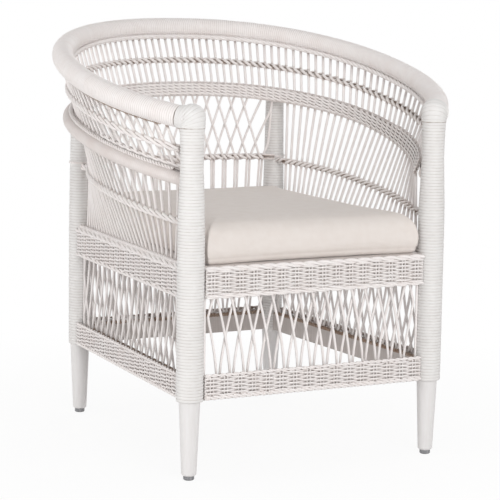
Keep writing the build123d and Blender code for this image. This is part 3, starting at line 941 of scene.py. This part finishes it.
def rope(line, out, lay, reach, strands=2):
    """A plain rope along a line, with a lay length for one full turn."""
    run = np.concatenate([[0], np.cumsum(np.linalg.norm(np.diff(line, axis=0), axis=1))])
    return twisted(line, out, 2 * run / lay, reach, reach, strands)


def run_to_leg(line, turns, name, radius):
    """Carry a twined line on from its end to the side of a leg."""
    away = line[-1, :2] - leg_places[name]
    gap = np.linalg.norm(away) - radius
    steps = np.linspace(0, 1, 1 + math.ceil(gap / run_step))[1:, None]
    goal = line[-1] - [*(away / np.linalg.norm(away) * gap), 0.0]
    more = line[-1] + (goal - line[-1]) * steps
    way = np.sign(turns[-1] - turns[0])
    more_turns = turns[-1] + way * steps[:, 0] * gap / run_pitch
    return np.vstack([line, more]), np.concatenate([turns, more_turns])


def ring_line(place, radius, height, points=48):
    """A level circle round a leg, with its outward directions."""
    turn = np.linspace(0, 2 * math.pi, points)
    out = np.column_stack([np.cos(turn), np.sin(turn), np.zeros(points)])
    return np.array([*place, height]) + out * radius, out


side_fine = np.linspace(0.0, 1.0, side_count * per_upright)
side_twine = side_feet(side_fine) + (side_heads(side_fine) - side_feet(side_fine)) * lower_twine_share
side_turns = np.interp(side_fine, side_shares, np.arange(side_count))
side_twine, side_turns = run_to_leg(side_twine, side_turns, "rear_left", rear_wrap_core)
side_twine, side_turns = run_to_leg(side_twine[::-1], side_turns[::-1], "front_left", front_wrap_core)
side_twine, side_turns = side_twine[::-1], side_turns[::-1]
left_lines = waled(side_twine, level_out(side_twine), side_turns, twine_reach, weaver_rise)
right_lines = [line * mirrored for line in left_lines]

back_reach = 2 * layer_offset + 0.6 * weaver_radius
twine_half_width = rear_x - rear_wrap_core
back_x = np.linspace(-twine_half_width, twine_half_width, len(upright_places) * per_upright)
back_twine = back_point(back_x, np.zeros(len(back_x)), 0.0)
back_turns = np.interp(back_x, sorted(upright_places), np.arange(len(upright_places)))
back_lines = waled(back_twine, level_out(back_twine), back_turns, back_reach, weaver_rise)
lashings = []
for name in ("rear_left", "rear_right"):
    line, out = ring_line(leg_places[name], post_radius, back_foot_height)
    lashings += rope(line, out, lay=44 * mm, reach=1.3 * mm)
lower_twine = canes("lower_twine_weavers", left_lines + right_lines + back_lines, weaver_radius)
lower_cores = [side_twine, side_twine * mirrored, back_twine]
mark_core(lower_twine, lower_cores, **twine_core)
lashing = canes("post_lashings", lashings, 1.5 * mm)
lower_twine = join("lower_twine_weavers", [lower_twine, lashing])
dress(lower_twine, lightened_woven_cane, ["lower_twine"])
print("lower twine round", 2 * side_count + len(upright_places), "uprights")

# %% [markdown]
# Braids hide the places where the canes meet the rails. A slow rope of three strands lies in the angle
# under the top rail, with a row of fine stitches above it and unpainted ties below, and a tighter one
# lies on the crest of the middle rail. Each is a rope along a line that is turned about the rail. The
# brown ties also stand in for the shade under the rail, and the braids' cores are marked as painted shade.


# %% Braids along the rails
def beside_rail(line, radius, tilt):
    """A line beside a rail, turned from level outwards by an angle."""
    out = level_out(line)
    turned = math.radians(tilt)
    return line + (out * math.cos(turned) + np.array([0, 0, 1]) * math.sin(turned)) * radius, out


braid_start = 25 * mm
crest_start = 26 * mm
thread_radius = 0.7 * mm
dense = np.linspace(0.016, 0.984, 900)
rail_line = at_shares(at_height(behind(top_plan, braid_start), top_height), dense)
line, out = beside_rail(rail_line, top_rail_radius + 4 * mm, tilt=225)
braid = canes("rail_braid_strands", rope(line, out, lay=46 * mm, reach=2.2 * mm, strands=3), 2.7 * mm)
mark_core(braid, [line], near=1.6 * mm, far=3.2 * mm, depth=0.8)
print("rail braid of", round(length_of(line), 3), "m")
line, out = beside_rail(rail_line, top_rail_radius + 0.7 * mm, tilt=204)
stitches = canes("rail_stitches", rope(line, out, lay=9 * mm, reach=0.7 * mm), thread_radius, 4)
braid = join("rail_braid_strands", [braid, stitches])
dress(braid, lightened_woven_cane, ["rail_braid"])
tied = []
for tilt in (254, 277):
    line, out = beside_rail(rail_line, top_rail_radius + 0.4 * mm, tilt)
    tied += rope(line, out, lay=11 * mm, reach=1.4 * mm)
# Brown ties under the rail: unpainted cane, and painted shade under the rail as well.
dress(canes("rail_ties", tied, thread_radius, 4), brown_cane)
crest_line = at_shares(at_height(behind(middle_plan, crest_start), middle_height), dense)
line, out = beside_rail(crest_line, middle_rail_radius + 2 * mm, tilt=108)
braid = canes("middle_braid_strands", rope(line, out, lay=21 * mm, reach=2.4 * mm, strands=3), 2.1 * mm, 6)
mark_core(braid, [line], near=1.8 * mm, far=3.4 * mm, depth=1.0)
dress(braid, lightened_woven_cane, ["middle_braid"])
print("middle braid of", round(length_of(line), 3), "m")

# %% [markdown]
# Where an upright passes a twine or goes into a rail, the paint is thin on the upright too, and the
# mark there is also painted shade at the joint. The lines of those joints are all known now, so the
# uprights get their marks last.

# %% Marks at the joints
into_rails = np.array([0, 0, 3 * mm])
joints = [twine_line, *lower_cores, fine_heads + into_rails, fine_feet - into_rails]
for strands in uprights:
    mark_core(strands, joints, near=6 * mm, far=9 * mm, depth=0.8)
print("marked", len(uprights), "groups of uprights along", len(joints), "lines")

# %% [markdown]
# The wide band over the middle rail is woven in rows of three weavers that lie flat and close: each
# weaver passes in front of two uprights and behind the third. So the band looks smooth, with short
# dark dashes where a weaver dives. Round canes are drawn first and then pressed flat about their
# middle lines. The band is taller towards the arms, and a basket maker gets there with short rows, so
# the top rows are left out where the band is low.


# %% Wide band
def press_flat(piece, lines, outs, sides, share):
    """Press round canes flat in one direction. In the mesh, the rings of their ends come first."""
    rings = points_of(piece).reshape(-1, sides, 3)
    middle = np.vstack([line[[-1, 0]] for line in reversed(lines)] + lines)[:, None, :]
    out = np.vstack([rows[[-1, 0]] for rows in reversed(outs)] + outs)[:, None, :]
    depth = ((rings - middle) * out).sum(axis=2, keepdims=True)
    move_points(piece, (rings - out * depth * (1 - share)).reshape(-1, 3))


band_radius = 2.3 * mm
band_reach = strand_radius + 0.8 * mm
row_rise = 1.8 * mm
band_pitch = 6.4 * mm
band_bottom = -7 * mm
band_top_at_back = 20
band_rise_to_arm = 8
band_row_count = 6
tie_inset = 3 * mm
up_strand = unit(fine_heads - fine_feet)
arm_share = np.clip((rear_line - fine_feet[:, 1]) / leg_row_depth, 0, 1)
band_top = (band_top_at_back + band_rise_to_arm * arm_share) * mm
band_lines = []
band_outs = []
band_rows = []
for row in range(band_row_count):
    height = band_bottom + (row + 0.5) * band_pitch
    inside = np.flatnonzero(height <= band_top - 0.45 * band_pitch)
    line = fine_feet + up_strand * height
    band_rows.append(line)
    weavers = twisted(line, fine_out, 2 * (upper_turns + row) / 3, band_reach, row_rise, 3)
    for run in np.split(inside, np.flatnonzero(np.diff(inside) > 1) + 1):
        if len(run) > per_upright:
            band_lines += [weaver[run] for weaver in weavers]
            band_outs += [fine_out[run]] * len(weavers)
band = canes("wide_band_weavers", band_lines, band_radius)
# Marked dark near the middle of each row: bare cane and painted shade between the weavers.
mark_core(band, band_rows, near=2.0 * mm, far=3.2 * mm, depth=0.9)
press_flat(band, band_lines, band_outs, sides=8, share=0.6)
dress(band, lightened_woven_cane, ["wide_band"])
# Ties along the band's edges; the lower one is a dark line that stands in for the shadow under the band.
edges = []
for height in (np.full(fine_count, band_bottom - 1 * mm), band_top):
    line = fine_feet + up_strand * height[:, None] - fine_out * tie_inset
    edges += rope(line, fine_out, lay=9 * mm, reach=0.8 * mm)
dress(canes("wide_band_ties", edges, 0.55 * mm, 4), worn_shaded_cane)
print("wide band of", len(band_lines), "weavers,", len(band.data.polygons), "faces")

# %% [markdown]
# The aprons under the seat and the bands round the base are woven close on pairs of thin stakes. Over
# each pair every second row lies in front, and through the gaps between those rows the two stakes
# show as light spots among dark ones. A bump could fake it, but the dashes are real gaps, so every row
# is a cane. The bare cane shows deep in them, and that brown is also painted shade in the recesses.
# Each vertex stores how far it is tucked away.

# %% Close weave
stake_radius = 1.7 * mm
stake_pair = 6.2 * mm
stake_pitch = 27 * mm
row_pitch = 3.3 * mm
row_radius = 1.78 * mm
row_slack = 0.2 * mm
weave_reach = 2.5 * mm
weave_plane = 12.7 * mm
into_wrap = 1.5 * mm
stake_end = 2 * mm
tuck_start = 0.5 * mm
tuck_depth = 2.8 * mm


def over_under(turns):
    """In and out of the stakes: one at an even turn, minus one at an odd one, flat over each stake."""
    return np.tanh(1.5 * np.cos(math.pi * turns)) / math.tanh(1.5)


def woven_panel(name, legs, low, high, bare_shade_share):
    """A close weave from leg to leg, with tools to draw its edges and to measure depth in it."""
    centre, along, out, half = panel_axes(*legs)
    ends = [half - wrap_radius[row_of(leg)] + into_wrap for leg in legs]
    pairs = round((ends[0] + ends[1]) / stake_pitch)
    pitch = (ends[0] + ends[1]) / pairs
    first = -ends[0] + pitch / 2

    def place(distance, away, height):
        flat = centre + np.outer(distance, along) + np.outer(away, out)
        return np.column_stack([flat, np.broadcast_to(height, len(flat))])

    def edge(height, away=0.0):
        spots = np.linspace(-ends[0], ends[1], pairs * 16 + 1)
        line = place(spots, np.full(len(spots), weave_plane + away), height)
        return line, np.broadcast_to([*out, 0.0], line.shape), pitch

    def depth_of(piece):
        return (points_of(piece)[:, :2] - centre) @ out - weave_plane

    distance = np.linspace(-ends[0], ends[1], pairs * 10 + 1)
    rows = []
    for row in range(int((high - low) / row_pitch) + 1):
        wave = over_under((distance - first) / pitch + row) * weave_reach
        slack = rng.uniform(-row_slack, row_slack, len(distance))
        rows.append(place(distance, weave_plane + wave, low + row * row_pitch + slack))
    stakes = []
    stake_heights = np.array([low - stake_end, high + stake_end])
    for i in range(pairs):
        for offset in (-stake_pair / 2, stake_pair / 2):
            spot = np.full(2, first + i * pitch + offset)
            stakes.append(place(spot, np.full(2, weave_plane), stake_heights))
    weave = canes(name, rows, row_radius, 6, uneven=0.05)
    panel = join(name, [weave, canes(f"{name}_stakes", stakes, stake_radius, 6)])
    # Deeper points turn darker: bare cane, and painted shade behind the front rows.
    mark(panel, "bare_and_shade", bare_shade_share * np.clip((tuck_start - depth_of(panel)) / tuck_depth, 0, 1))
    return panel, edge, depth_of


print("weave of", round(1 / row_pitch), "rows to the metre")

# %% [markdown]
# The seat edge of an apron is a thick folded border: one slow rope in front, and on the sides and the
# rear another one over a body of cane that closes the gap to the seat. Every other edge is a thinner
# rope. Inside the base no brush was used, so the borders of the base bands are bare on their inner side,
# and that brown is also painted shade inside the base.


# %% Aprons and base bands
def finish_panel(name, panel, borders, depth_of, bare_shade_share, node):
    """Add border canes to a woven panel, dark inside by a share as bare cane and painted shade; dress it."""
    trimmed = []
    for i, (lines, radius) in enumerate(borders):
        trim = canes(f"{name}_border_{i}", lines, radius, uneven=0.04)
        mark(trim, "bare_and_shade", bare_shade_share * np.clip(-depth_of(trim) / (1.5 * mm), 0, 1))
        trimmed.append(trim)
    dress(join(name, [panel, *trimmed]), lightened_woven_cane, [node])


apron_low, apron_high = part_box("apron_front")[0].z, seat_height
band_low, band_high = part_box("base_band_front")[0].z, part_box("base_band_front")[1].z
for side, legs in sides.items():
    name = f"apron_weave_{side}"
    panel, edge, depth_of = woven_panel(name, legs, apron_low + 8.5 * mm, apron_high - 8.6 * mm, bare_shade_share=1.0)
    line, out, pitch = edge(apron_high - 5.4 * mm)
    borders = [(rope(line, out, lay=2 * pitch, reach=2.5 * mm), 2.9 * mm)]
    if side != "front":
        line, out, pitch = edge(apron_high + 0.6 * mm, away=-6.6 * mm)
        borders.append((rope(line, out, lay=pitch, reach=2.2 * mm, strands=3), 2.3 * mm))
        borders.append(([edge(apron_high - 2.6 * mm, away=-3.4 * mm)[0]], 3.4 * mm))
    line, out, pitch = edge(apron_low + 4.2 * mm, away=0.6 * mm)
    borders.append((rope(line, out, lay=2 * pitch, reach=1.9 * mm), 2.3 * mm))
    finish_panel(name, panel, borders, depth_of, 0.0, f"apron_{side}")

    name = f"base_weave_{side}"
    panel, edge, depth_of = woven_panel(name, legs, band_low + 9.5 * mm, band_high - 5 * mm, bare_shade_share=0.65)
    line, out, pitch = edge(band_low + 4.6 * mm)
    borders = [(rope(line, out, lay=pitch, reach=2.1 * mm), 2.4 * mm)]
    line, out, pitch = edge(band_high - 2.2 * mm)
    borders.append((rope(line, out, lay=pitch, reach=1.6 * mm), 1.8 * mm))
    finish_panel(name, panel, borders, depth_of, 1.0, f"base_band_{side}")
print("woven panels:", 2 * len(sides))

# %% [markdown]
# Inside the base, each lower rail is a plain painted board. The lattice canes are lashed to its top
# edge with thin cane that was never painted, so a brown twist runs along every rail.

# %% Lashings inside the base
lashing_radius = 2.2 * mm
lashing_lay = 15 * mm
lashing_inset = 5.5 * mm
lashing_height = lower_rail_top + 2.6 * mm
lashing_end_gap = 25 * mm
lashing_lines = []
for legs in sides.values():
    centre, along, out, half = panel_axes(*legs)
    reach = half - lashing_end_gap
    spots = np.linspace(-reach, reach, 260)
    flat = centre + np.outer(spots, along) - out * lashing_inset
    line = np.column_stack([flat, np.full(len(spots), lashing_height)])
    lashing_lines += rope(line, np.broadcast_to([*out, 0.0], line.shape), lashing_lay, lashing_radius)
lashing = canes("base_lashings", lashing_lines, lashing_radius, 6, uneven=0.08)
dress(lashing, brown_cane)
print("lashings along", len(sides), "boards")

# %% [markdown]
# Under the cushion lies a woven seat deck. Flat reed goes over and under thin stakes that run from
# front to back. It's made as round canes at twice its height and then pressed flat, which gives each
# reed its rounded edge.

# %% Seat deck
deck_low, deck_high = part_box("seat_deck")
deck_middle = (deck_low.z + deck_high.z) / 2
deck_press = 0.5
deck_stakes = 14
reed_pitch = 7.6 * mm
reed_radius = 3.6 * mm
reed_wave = 3.2 * mm
leg_corner = 16 * mm
leg_room = 27 * mm
rail_room = 8.6 * mm
reeds = []
for y in np.arange(deck_low.y + 4 * mm, deck_high.y - 3 * mm, reed_pitch):
    room = leg_room if min(y - deck_low.y, deck_high.y - y) < leg_corner else rail_room
    x = np.linspace(-side_line(y) + room, side_line(y) - room, deck_stakes * 5)
    turns = (x / side_line(y) + 1) / 2 * deck_stakes + len(reeds) + 1
    z = deck_middle / deck_press + over_under(turns) * reed_wave
    reeds.append(np.column_stack([x, np.full(len(x), y), z]))
stakes = []
for i in range(1, deck_stakes):
    share = 2 * i / deck_stakes - 1
    y = np.linspace(deck_low.y + 2 * mm, deck_high.y - 2 * mm, 4)
    stakes.append(np.column_stack([share * side_line(y), y, np.full(4, deck_middle / deck_press)]))
reed_weave = canes("reeds", reeds, reed_radius)
deck = join("seat_deck_weave", [reed_weave, canes("deck_stakes", stakes, 2.6 * mm, 6)])
points = points_of(deck)
points[:, 2] *= deck_press
move_points(deck, points)
# Lower points of the deck turn darker brown: painted shade under the crossings, with some bare cane.
mark(deck, "bare_and_shade", np.clip((deck_middle - points[:, 2]) / (3 * mm), 0, 0.7))
dress(deck, lightened_woven_cane, ["seat_deck"])
print("deck of", len(reeds), "reeds")

# %% [markdown]
# The poles, boards and feet keep their solids, which already have the right shape. They only need
# paint: brushed on, a little uneven, and slightly glossier than the basket work. The glides are grey
# moulded plastic with a fine scuffed grain.


# %% Finishes of the solids
def make_brushed_paint(name, colour, thin, roughness):
    """Brushed paint: long soft streaks along the height, and a faint orange peel."""
    material, tree, shader, where = new_material(name)
    streaks = spread(tree, noise(tree, stretched(tree, where, (1, 1, 0.08)), 320), 0.35, 0.65)
    orange_peel = noise(tree, where, 520, 2.0)
    gloss = spread(tree, orange_peel, 0.3, 0.7, roughness, roughness + 0.12)
    cover(tree, shader, mixed(tree, streaks, colour, thin), gloss, orange_peel, 0.2, 0.25 * mm)
    return material


def make_moulded_plastic(name, colour, worn):
    """Grey plastic with a fine grain and scuffs."""
    material, tree, shader, where = new_material(name)
    scuffs = spread(tree, noise(tree, where, 240, 6.0), 0.5, 0.75)
    grain = noise(tree, where, 2600, 2.0)
    gloss = spread(tree, grain, 0.3, 0.7, 0.45, 0.65)
    cover(tree, shader, mixed(tree, scuffs, colour, worn), gloss, grain, 0.3, 0.15 * mm)
    return material


foot_paint = make_brushed_paint("foot_paint", (0.775, 0.76, 0.758, 1), (0.755, 0.735, 0.728, 1), 0.32)
# The boards' grey-brown is darker than the other paint: partly their own colour, partly painted shade under
# the seat.
shaded_board_paint = make_brushed_paint("shaded_board_paint", (0.60, 0.55, 0.53, 1), (0.54, 0.49, 0.465, 1), 0.45)
glide_plastic = make_moulded_plastic("glide_plastic", (0.22, 0.22, 0.23, 1), (0.36, 0.36, 0.37, 1))


def finish_for(node):
    """The finish of a solid that stays in view."""
    if node.startswith("glide_"):
        return glide_plastic
    if node.startswith("leg_") and not node.startswith("leg_wrap_"):
        return foot_paint
    return shaded_board_paint


for node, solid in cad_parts.items():
    solid.data.materials.clear()
    solid.data.materials.append(finish_for(node))
print("painted", len(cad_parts), "solids")

# %% [markdown]
# The seat cushion is a foam block in a plain cloth cover: crowned, soft at every edge, with a sewn
# seam low down where the bottom panel meets the sides. It starts from the foam's solid, remeshed to
# even squares. Cloth with a little air pressure swells it until the cover is taut, and each point may
# move only a few millimetres. The upper half is then smoothed more than the lower one, because the
# top edges of the real cover are the softest.

# %% Cushion form
cushion_low, cushion_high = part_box("cushion_cover")
swell_limit = 4 * mm
soft_start = 25 * mm
soft_span = 25 * mm


def make_cushion():
    """A crowned cushion that starts from the foam's own form."""
    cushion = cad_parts["cushion_foam"].copy()
    cushion.data = cushion.data.copy()
    for key in list(cushion.keys()):
        del cushion[key]
    cushion.parent = None
    cushion.name = "seat_cushion_cover"
    bpy.context.scene.collection.objects.link(cushion)
    make_active(cushion)
    cushion.data.remesh_voxel_size = 5 * mm
    bpy.ops.object.voxel_remesh()
    return cushion


def swell(cushion):
    """Blow the cover up a little, and keep each point near where it started."""
    before = points_of(cushion)
    cloth = cushion.modifiers.new("stuffing", "CLOTH")
    cloth.settings.use_pressure = True
    cloth.settings.uniform_pressure_force = 4
    cloth.settings.effector_weights.gravity = 0
    for step in range(1, 21):
        bpy.context.scene.frame_set(step)
    bpy.ops.object.modifier_apply(modifier="stuffing")
    bpy.context.scene.frame_set(1)
    moved = points_of(cushion) - before
    length = np.linalg.norm(moved, axis=1, keepdims=True)
    moved *= np.minimum(1, swell_limit / np.maximum(length, 1e-9))
    move_points(cushion, before + moved)


cushion = make_cushion()
swell(cushion)
upper = cushion.vertex_groups.new(name="upper")
for i, height in enumerate(points_of(cushion)[:, 2] - cushion_low.z):
    upper.add([i], min(max((height - soft_start) / soft_span, 0), 1), "REPLACE")
apply_modifier(cushion, "SMOOTH", factor=0.5, iterations=22, vertex_group="upper")
apply_modifier(cushion, "SMOOTH", factor=0.5, iterations=3)
cushion.vertex_groups.clear()
apply_modifier(cushion, "SUBSURF", levels=1, render_levels=1)
bpy.ops.object.shade_smooth()
print("cushion of", len(cushion.data.polygons), "faces")

# %% [markdown]
# The swollen form is then set. Its corners are pulled out square, as the cover's are, the
# underside is cut flat where it rests on the deck, the corners stand up a little and the back edge
# sags. Last, a shallow groove marks the seam. A lattice deformer could pull the corners, but it's too
# coarse for the cut and the seam, so all of it is done on the points.

# %% Cushion shape
squareness = 17
square_pull = 1.4
back_taper = 0.961
widening = 1.008
bottom_cut = 8 * mm
corner_lift = 6 * mm
back_sag = 8 * mm
side_sag = 2 * mm
seam_height = cushion_low.z + 11 * mm
seam_depth = 1.1 * mm
seam_groove = 2.4 * mm
seam_shade = 1.6 * mm
points = points_of(cushion)
away = points[:, :2] - np.array(((cushion_low + cushion_high) / 2).xy)
taper = np.interp(points[:, 1], (cushion_low.y, cushion_high.y), (1, back_taper))
u, v = np.abs(away / ((cushion_high - cushion_low) / 2).to_2d()).T
u, v = np.minimum(u / taper, 1), np.minimum(v, 1)
outer = np.maximum(u, v)
squarer = (u**squareness + v**squareness) ** (1 / squareness) / np.maximum(outer, 0.5)
points[:, :2] += away * np.where(outer > 0.5, square_pull * (squarer - 1), 0)[:, None]
points[:, 0] *= widening
tall = cushion_high.z - cushion_low.z
rise = np.maximum(points[:, 2] - cushion_low.z - bottom_cut, 0) * tall / (tall - bottom_cut)
corners = corner_lift * u**5 * v**5
sagging = back_sag * np.where(away[:, 1] > 0, v**6, 0) * (1 - u**2) + side_sag * u**6 * (1 - v**2)
points[:, 2] = cushion_low.z + rise + (corners - sagging) * (rise / tall) ** 2
from_seam = points[:, 2] - seam_height
dip = seam_depth * np.exp(-((from_seam / seam_groove) ** 2))
points[:, :2] -= unit(away) * dip[:, None]
move_points(cushion, points)
# The band along the seam is stored for the cloth, which darkens it as painted shade in the groove.
mark(cushion, "seam", np.exp(-((from_seam / seam_shade) ** 2)))
print("cushion", np.round(np.ptp(points, axis=0), 3), "m")

# %% [markdown]
# The cover is a plain weave of off-white yarn. Two waves at right angles, a little more than a
# millimetre apart, make the bump, with soft folds under them, and a noise makes the yarn uneven in
# colour. The waves follow object coordinates, because the remesh leaves no map to follow.


# %% Cushion cloth
def make_cloth(name, yarn, shade):
    """Plain woven cloth with a soft sheen, and painted shade along the seam."""
    material, tree, shader, where = new_material(name)
    threads = []
    for axis in ("X", "Y"):
        wave = tree.nodes.new("ShaderNodeTexWave")
        wave.bands_direction = axis
        for socket, value in (("Vector", where), ("Scale", 260), ("Distortion", 1.2), ("Detail", 1)):
            feed(tree, wave.inputs[socket], value)
        threads.append(wave.outputs["Fac"])
    weave = computed(tree, "MULTIPLY", *threads)
    folds = spread(tree, noise(tree, stretched(tree, where, (1, 1, 5)), 9, 1.5), 0.3, 0.7, 0, 6)
    slubs = spread(tree, noise(tree, where, 60, 4.0), 0.35, 0.7)
    # A dark brown is mixed in along the seam: painted shade in its groove.
    soft_seam = spread(tree, attribute(tree, "seam"), 0, 1, 0, 0.16)
    yarn_with_seam_shade = mixed(tree, soft_seam, mixed(tree, slubs, yarn, shade), (0.42, 0.36, 0.32, 1))
    gloss = spread(tree, slubs, 0, 1, 0.82, 0.94)
    cover(tree, shader, yarn_with_seam_shade, gloss, computed(tree, "ADD", weave, folds), 0.3, 0.35 * mm)
    shader.inputs["Sheen Weight"].default_value = 0.15
    return material


cushion_cloth = make_cloth("cushion_cloth", (0.765, 0.71, 0.673, 1), (0.745, 0.685, 0.645, 1))
dress(cushion, cushion_cloth, ["cushion_cover", "cushion_foam"], "seat_cushion")
print("cloth:", cushion_cloth.name)

# %% [markdown]
# A bright even world and a plain pale floor give a studio cut-out. The background is pure white to the
# camera and in reflections, while the light that it sheds on the chair is weaker. The floor fades
# into it with the distance, but keeps some of the shadow near the feet.


# %% Background and floor
def seen_directly(tree):
    """One for rays that should see the plain background, else nothing."""
    path = tree.nodes.new("ShaderNodeLightPath")
    total = path.outputs["Is Camera Ray"]
    for ray in ("Is Glossy Ray", "Is Transmission Ray"):
        total = computed(tree, "ADD", total, path.outputs[ray], clamp=True)
    return total


def mix_shaders(tree, factor, first, second, output):
    """Send a mix of two shaders to an output."""
    mix = tree.nodes.new("ShaderNodeMixShader")
    for socket, value in zip(mix.inputs, (factor, first.outputs[0], second.outputs[0])):
        feed(tree, socket, value)
    tree.links.new(mix.outputs[0], tree.nodes[output].inputs["Surface"])


world = bpy.data.worlds.new("studio")
bpy.context.scene.world = world
world.use_nodes = True
tree = world.node_tree
ambient = tree.nodes["Background"]
ambient.inputs["Color"].default_value = (1.0, 0.99, 0.98, 1)
ambient.inputs["Strength"].default_value = 0.42
white = tree.nodes.new("ShaderNodeBackground")
white.inputs["Color"].default_value = (1, 1, 1, 1)
white.inputs["Strength"].default_value = 1.0
mix_shaders(tree, seen_directly(tree), ambient, white, "World Output")

clear_selection()
bpy.ops.mesh.primitive_plane_add(size=40)
floor = bpy.context.object
floor.name = "studio_floor"
floor_paint, tree, matte, where = new_material("studio_floor")
matte.inputs["Base Color"].default_value = (0.92, 0.915, 0.91, 1)
matte.inputs["Roughness"].default_value = 0.9
glow = tree.nodes.new("ShaderNodeEmission")
distance = tree.nodes.new("ShaderNodeVectorMath")
distance.operation = "LENGTH"
tree.links.new(where, distance.inputs[0])
fade = spread(tree, distance.outputs["Value"], 0.35, 1.1, 0.92, 1.0)
mix_shaders(tree, computed(tree, "MULTIPLY", seen_directly(tree), fade), matte, glow, "Material Output")
floor.data.materials.append(floor_paint)
print("floor and world:", floor.name, world.name)

# %% [markdown]
# Four large soft lamps light the chair: one in front, near the camera, one from the left for the side
# panels, a weak one from above for the cushion, and one behind, so that the back is clear as well.
# Their power is kept low enough that the pale paint doesn't clip to white.

# %% Lamps
chair_middle = Vector((0, 0, 0.4))
lamps = {
    "front_softbox": ((-0.5, -3.9, 1.45), 2.2, 76),
    "side_softbox": ((-3.5, 0.2, 0.7), 1.6, 40),
    "top_softbox": ((-0.3, -0.6, 3.2), 2.0, 8),
    "back_softbox": ((2.6, 3.2, 1.6), 2.2, 34),
}
for name, (place, size, power) in lamps.items():
    clear_selection()
    bpy.ops.object.light_add(type="AREA", location=place)
    lamp = bpy.context.object
    lamp.name = name
    lamp.data.energy = power
    lamp.data.size = size
    lamp.rotation_mode = "QUATERNION"
    lamp.rotation_quaternion = (chair_middle - Vector(place)).to_track_quat("-Z", "Y")
print("lamps:", ", ".join(lamps))

# %% [markdown]
# The camera stands in front and to the left, a little above the seat, with a long lens, as in a
# catalogue picture. Its place comes from fitting the legs and rails, with a slight roll and shift.

# %% Camera
camera_eye = Vector((-1.7113, -3.4216, 0.9043))
camera_target = Vector((0, -0.00575, 0.3436))
camera_roll = math.radians(0.80)
clear_selection()
bpy.ops.object.camera_add(location=camera_eye)
camera = bpy.context.object
camera.rotation_mode = "QUATERNION"
look = (camera_target - camera_eye).to_track_quat("-Z", "Y")
camera.rotation_quaternion = look @ Quaternion((0, 0, 1), camera_roll)
camera.data.lens = 144
camera.data.sensor_width = 36
camera.data.shift_x = 0.0268
camera.data.shift_y = 0.0114
bpy.context.scene.camera = camera
bpy.context.scene.view_settings.view_transform = "Standard"
print("camera", round((camera_target - camera_eye).length, 2), "m from its target")
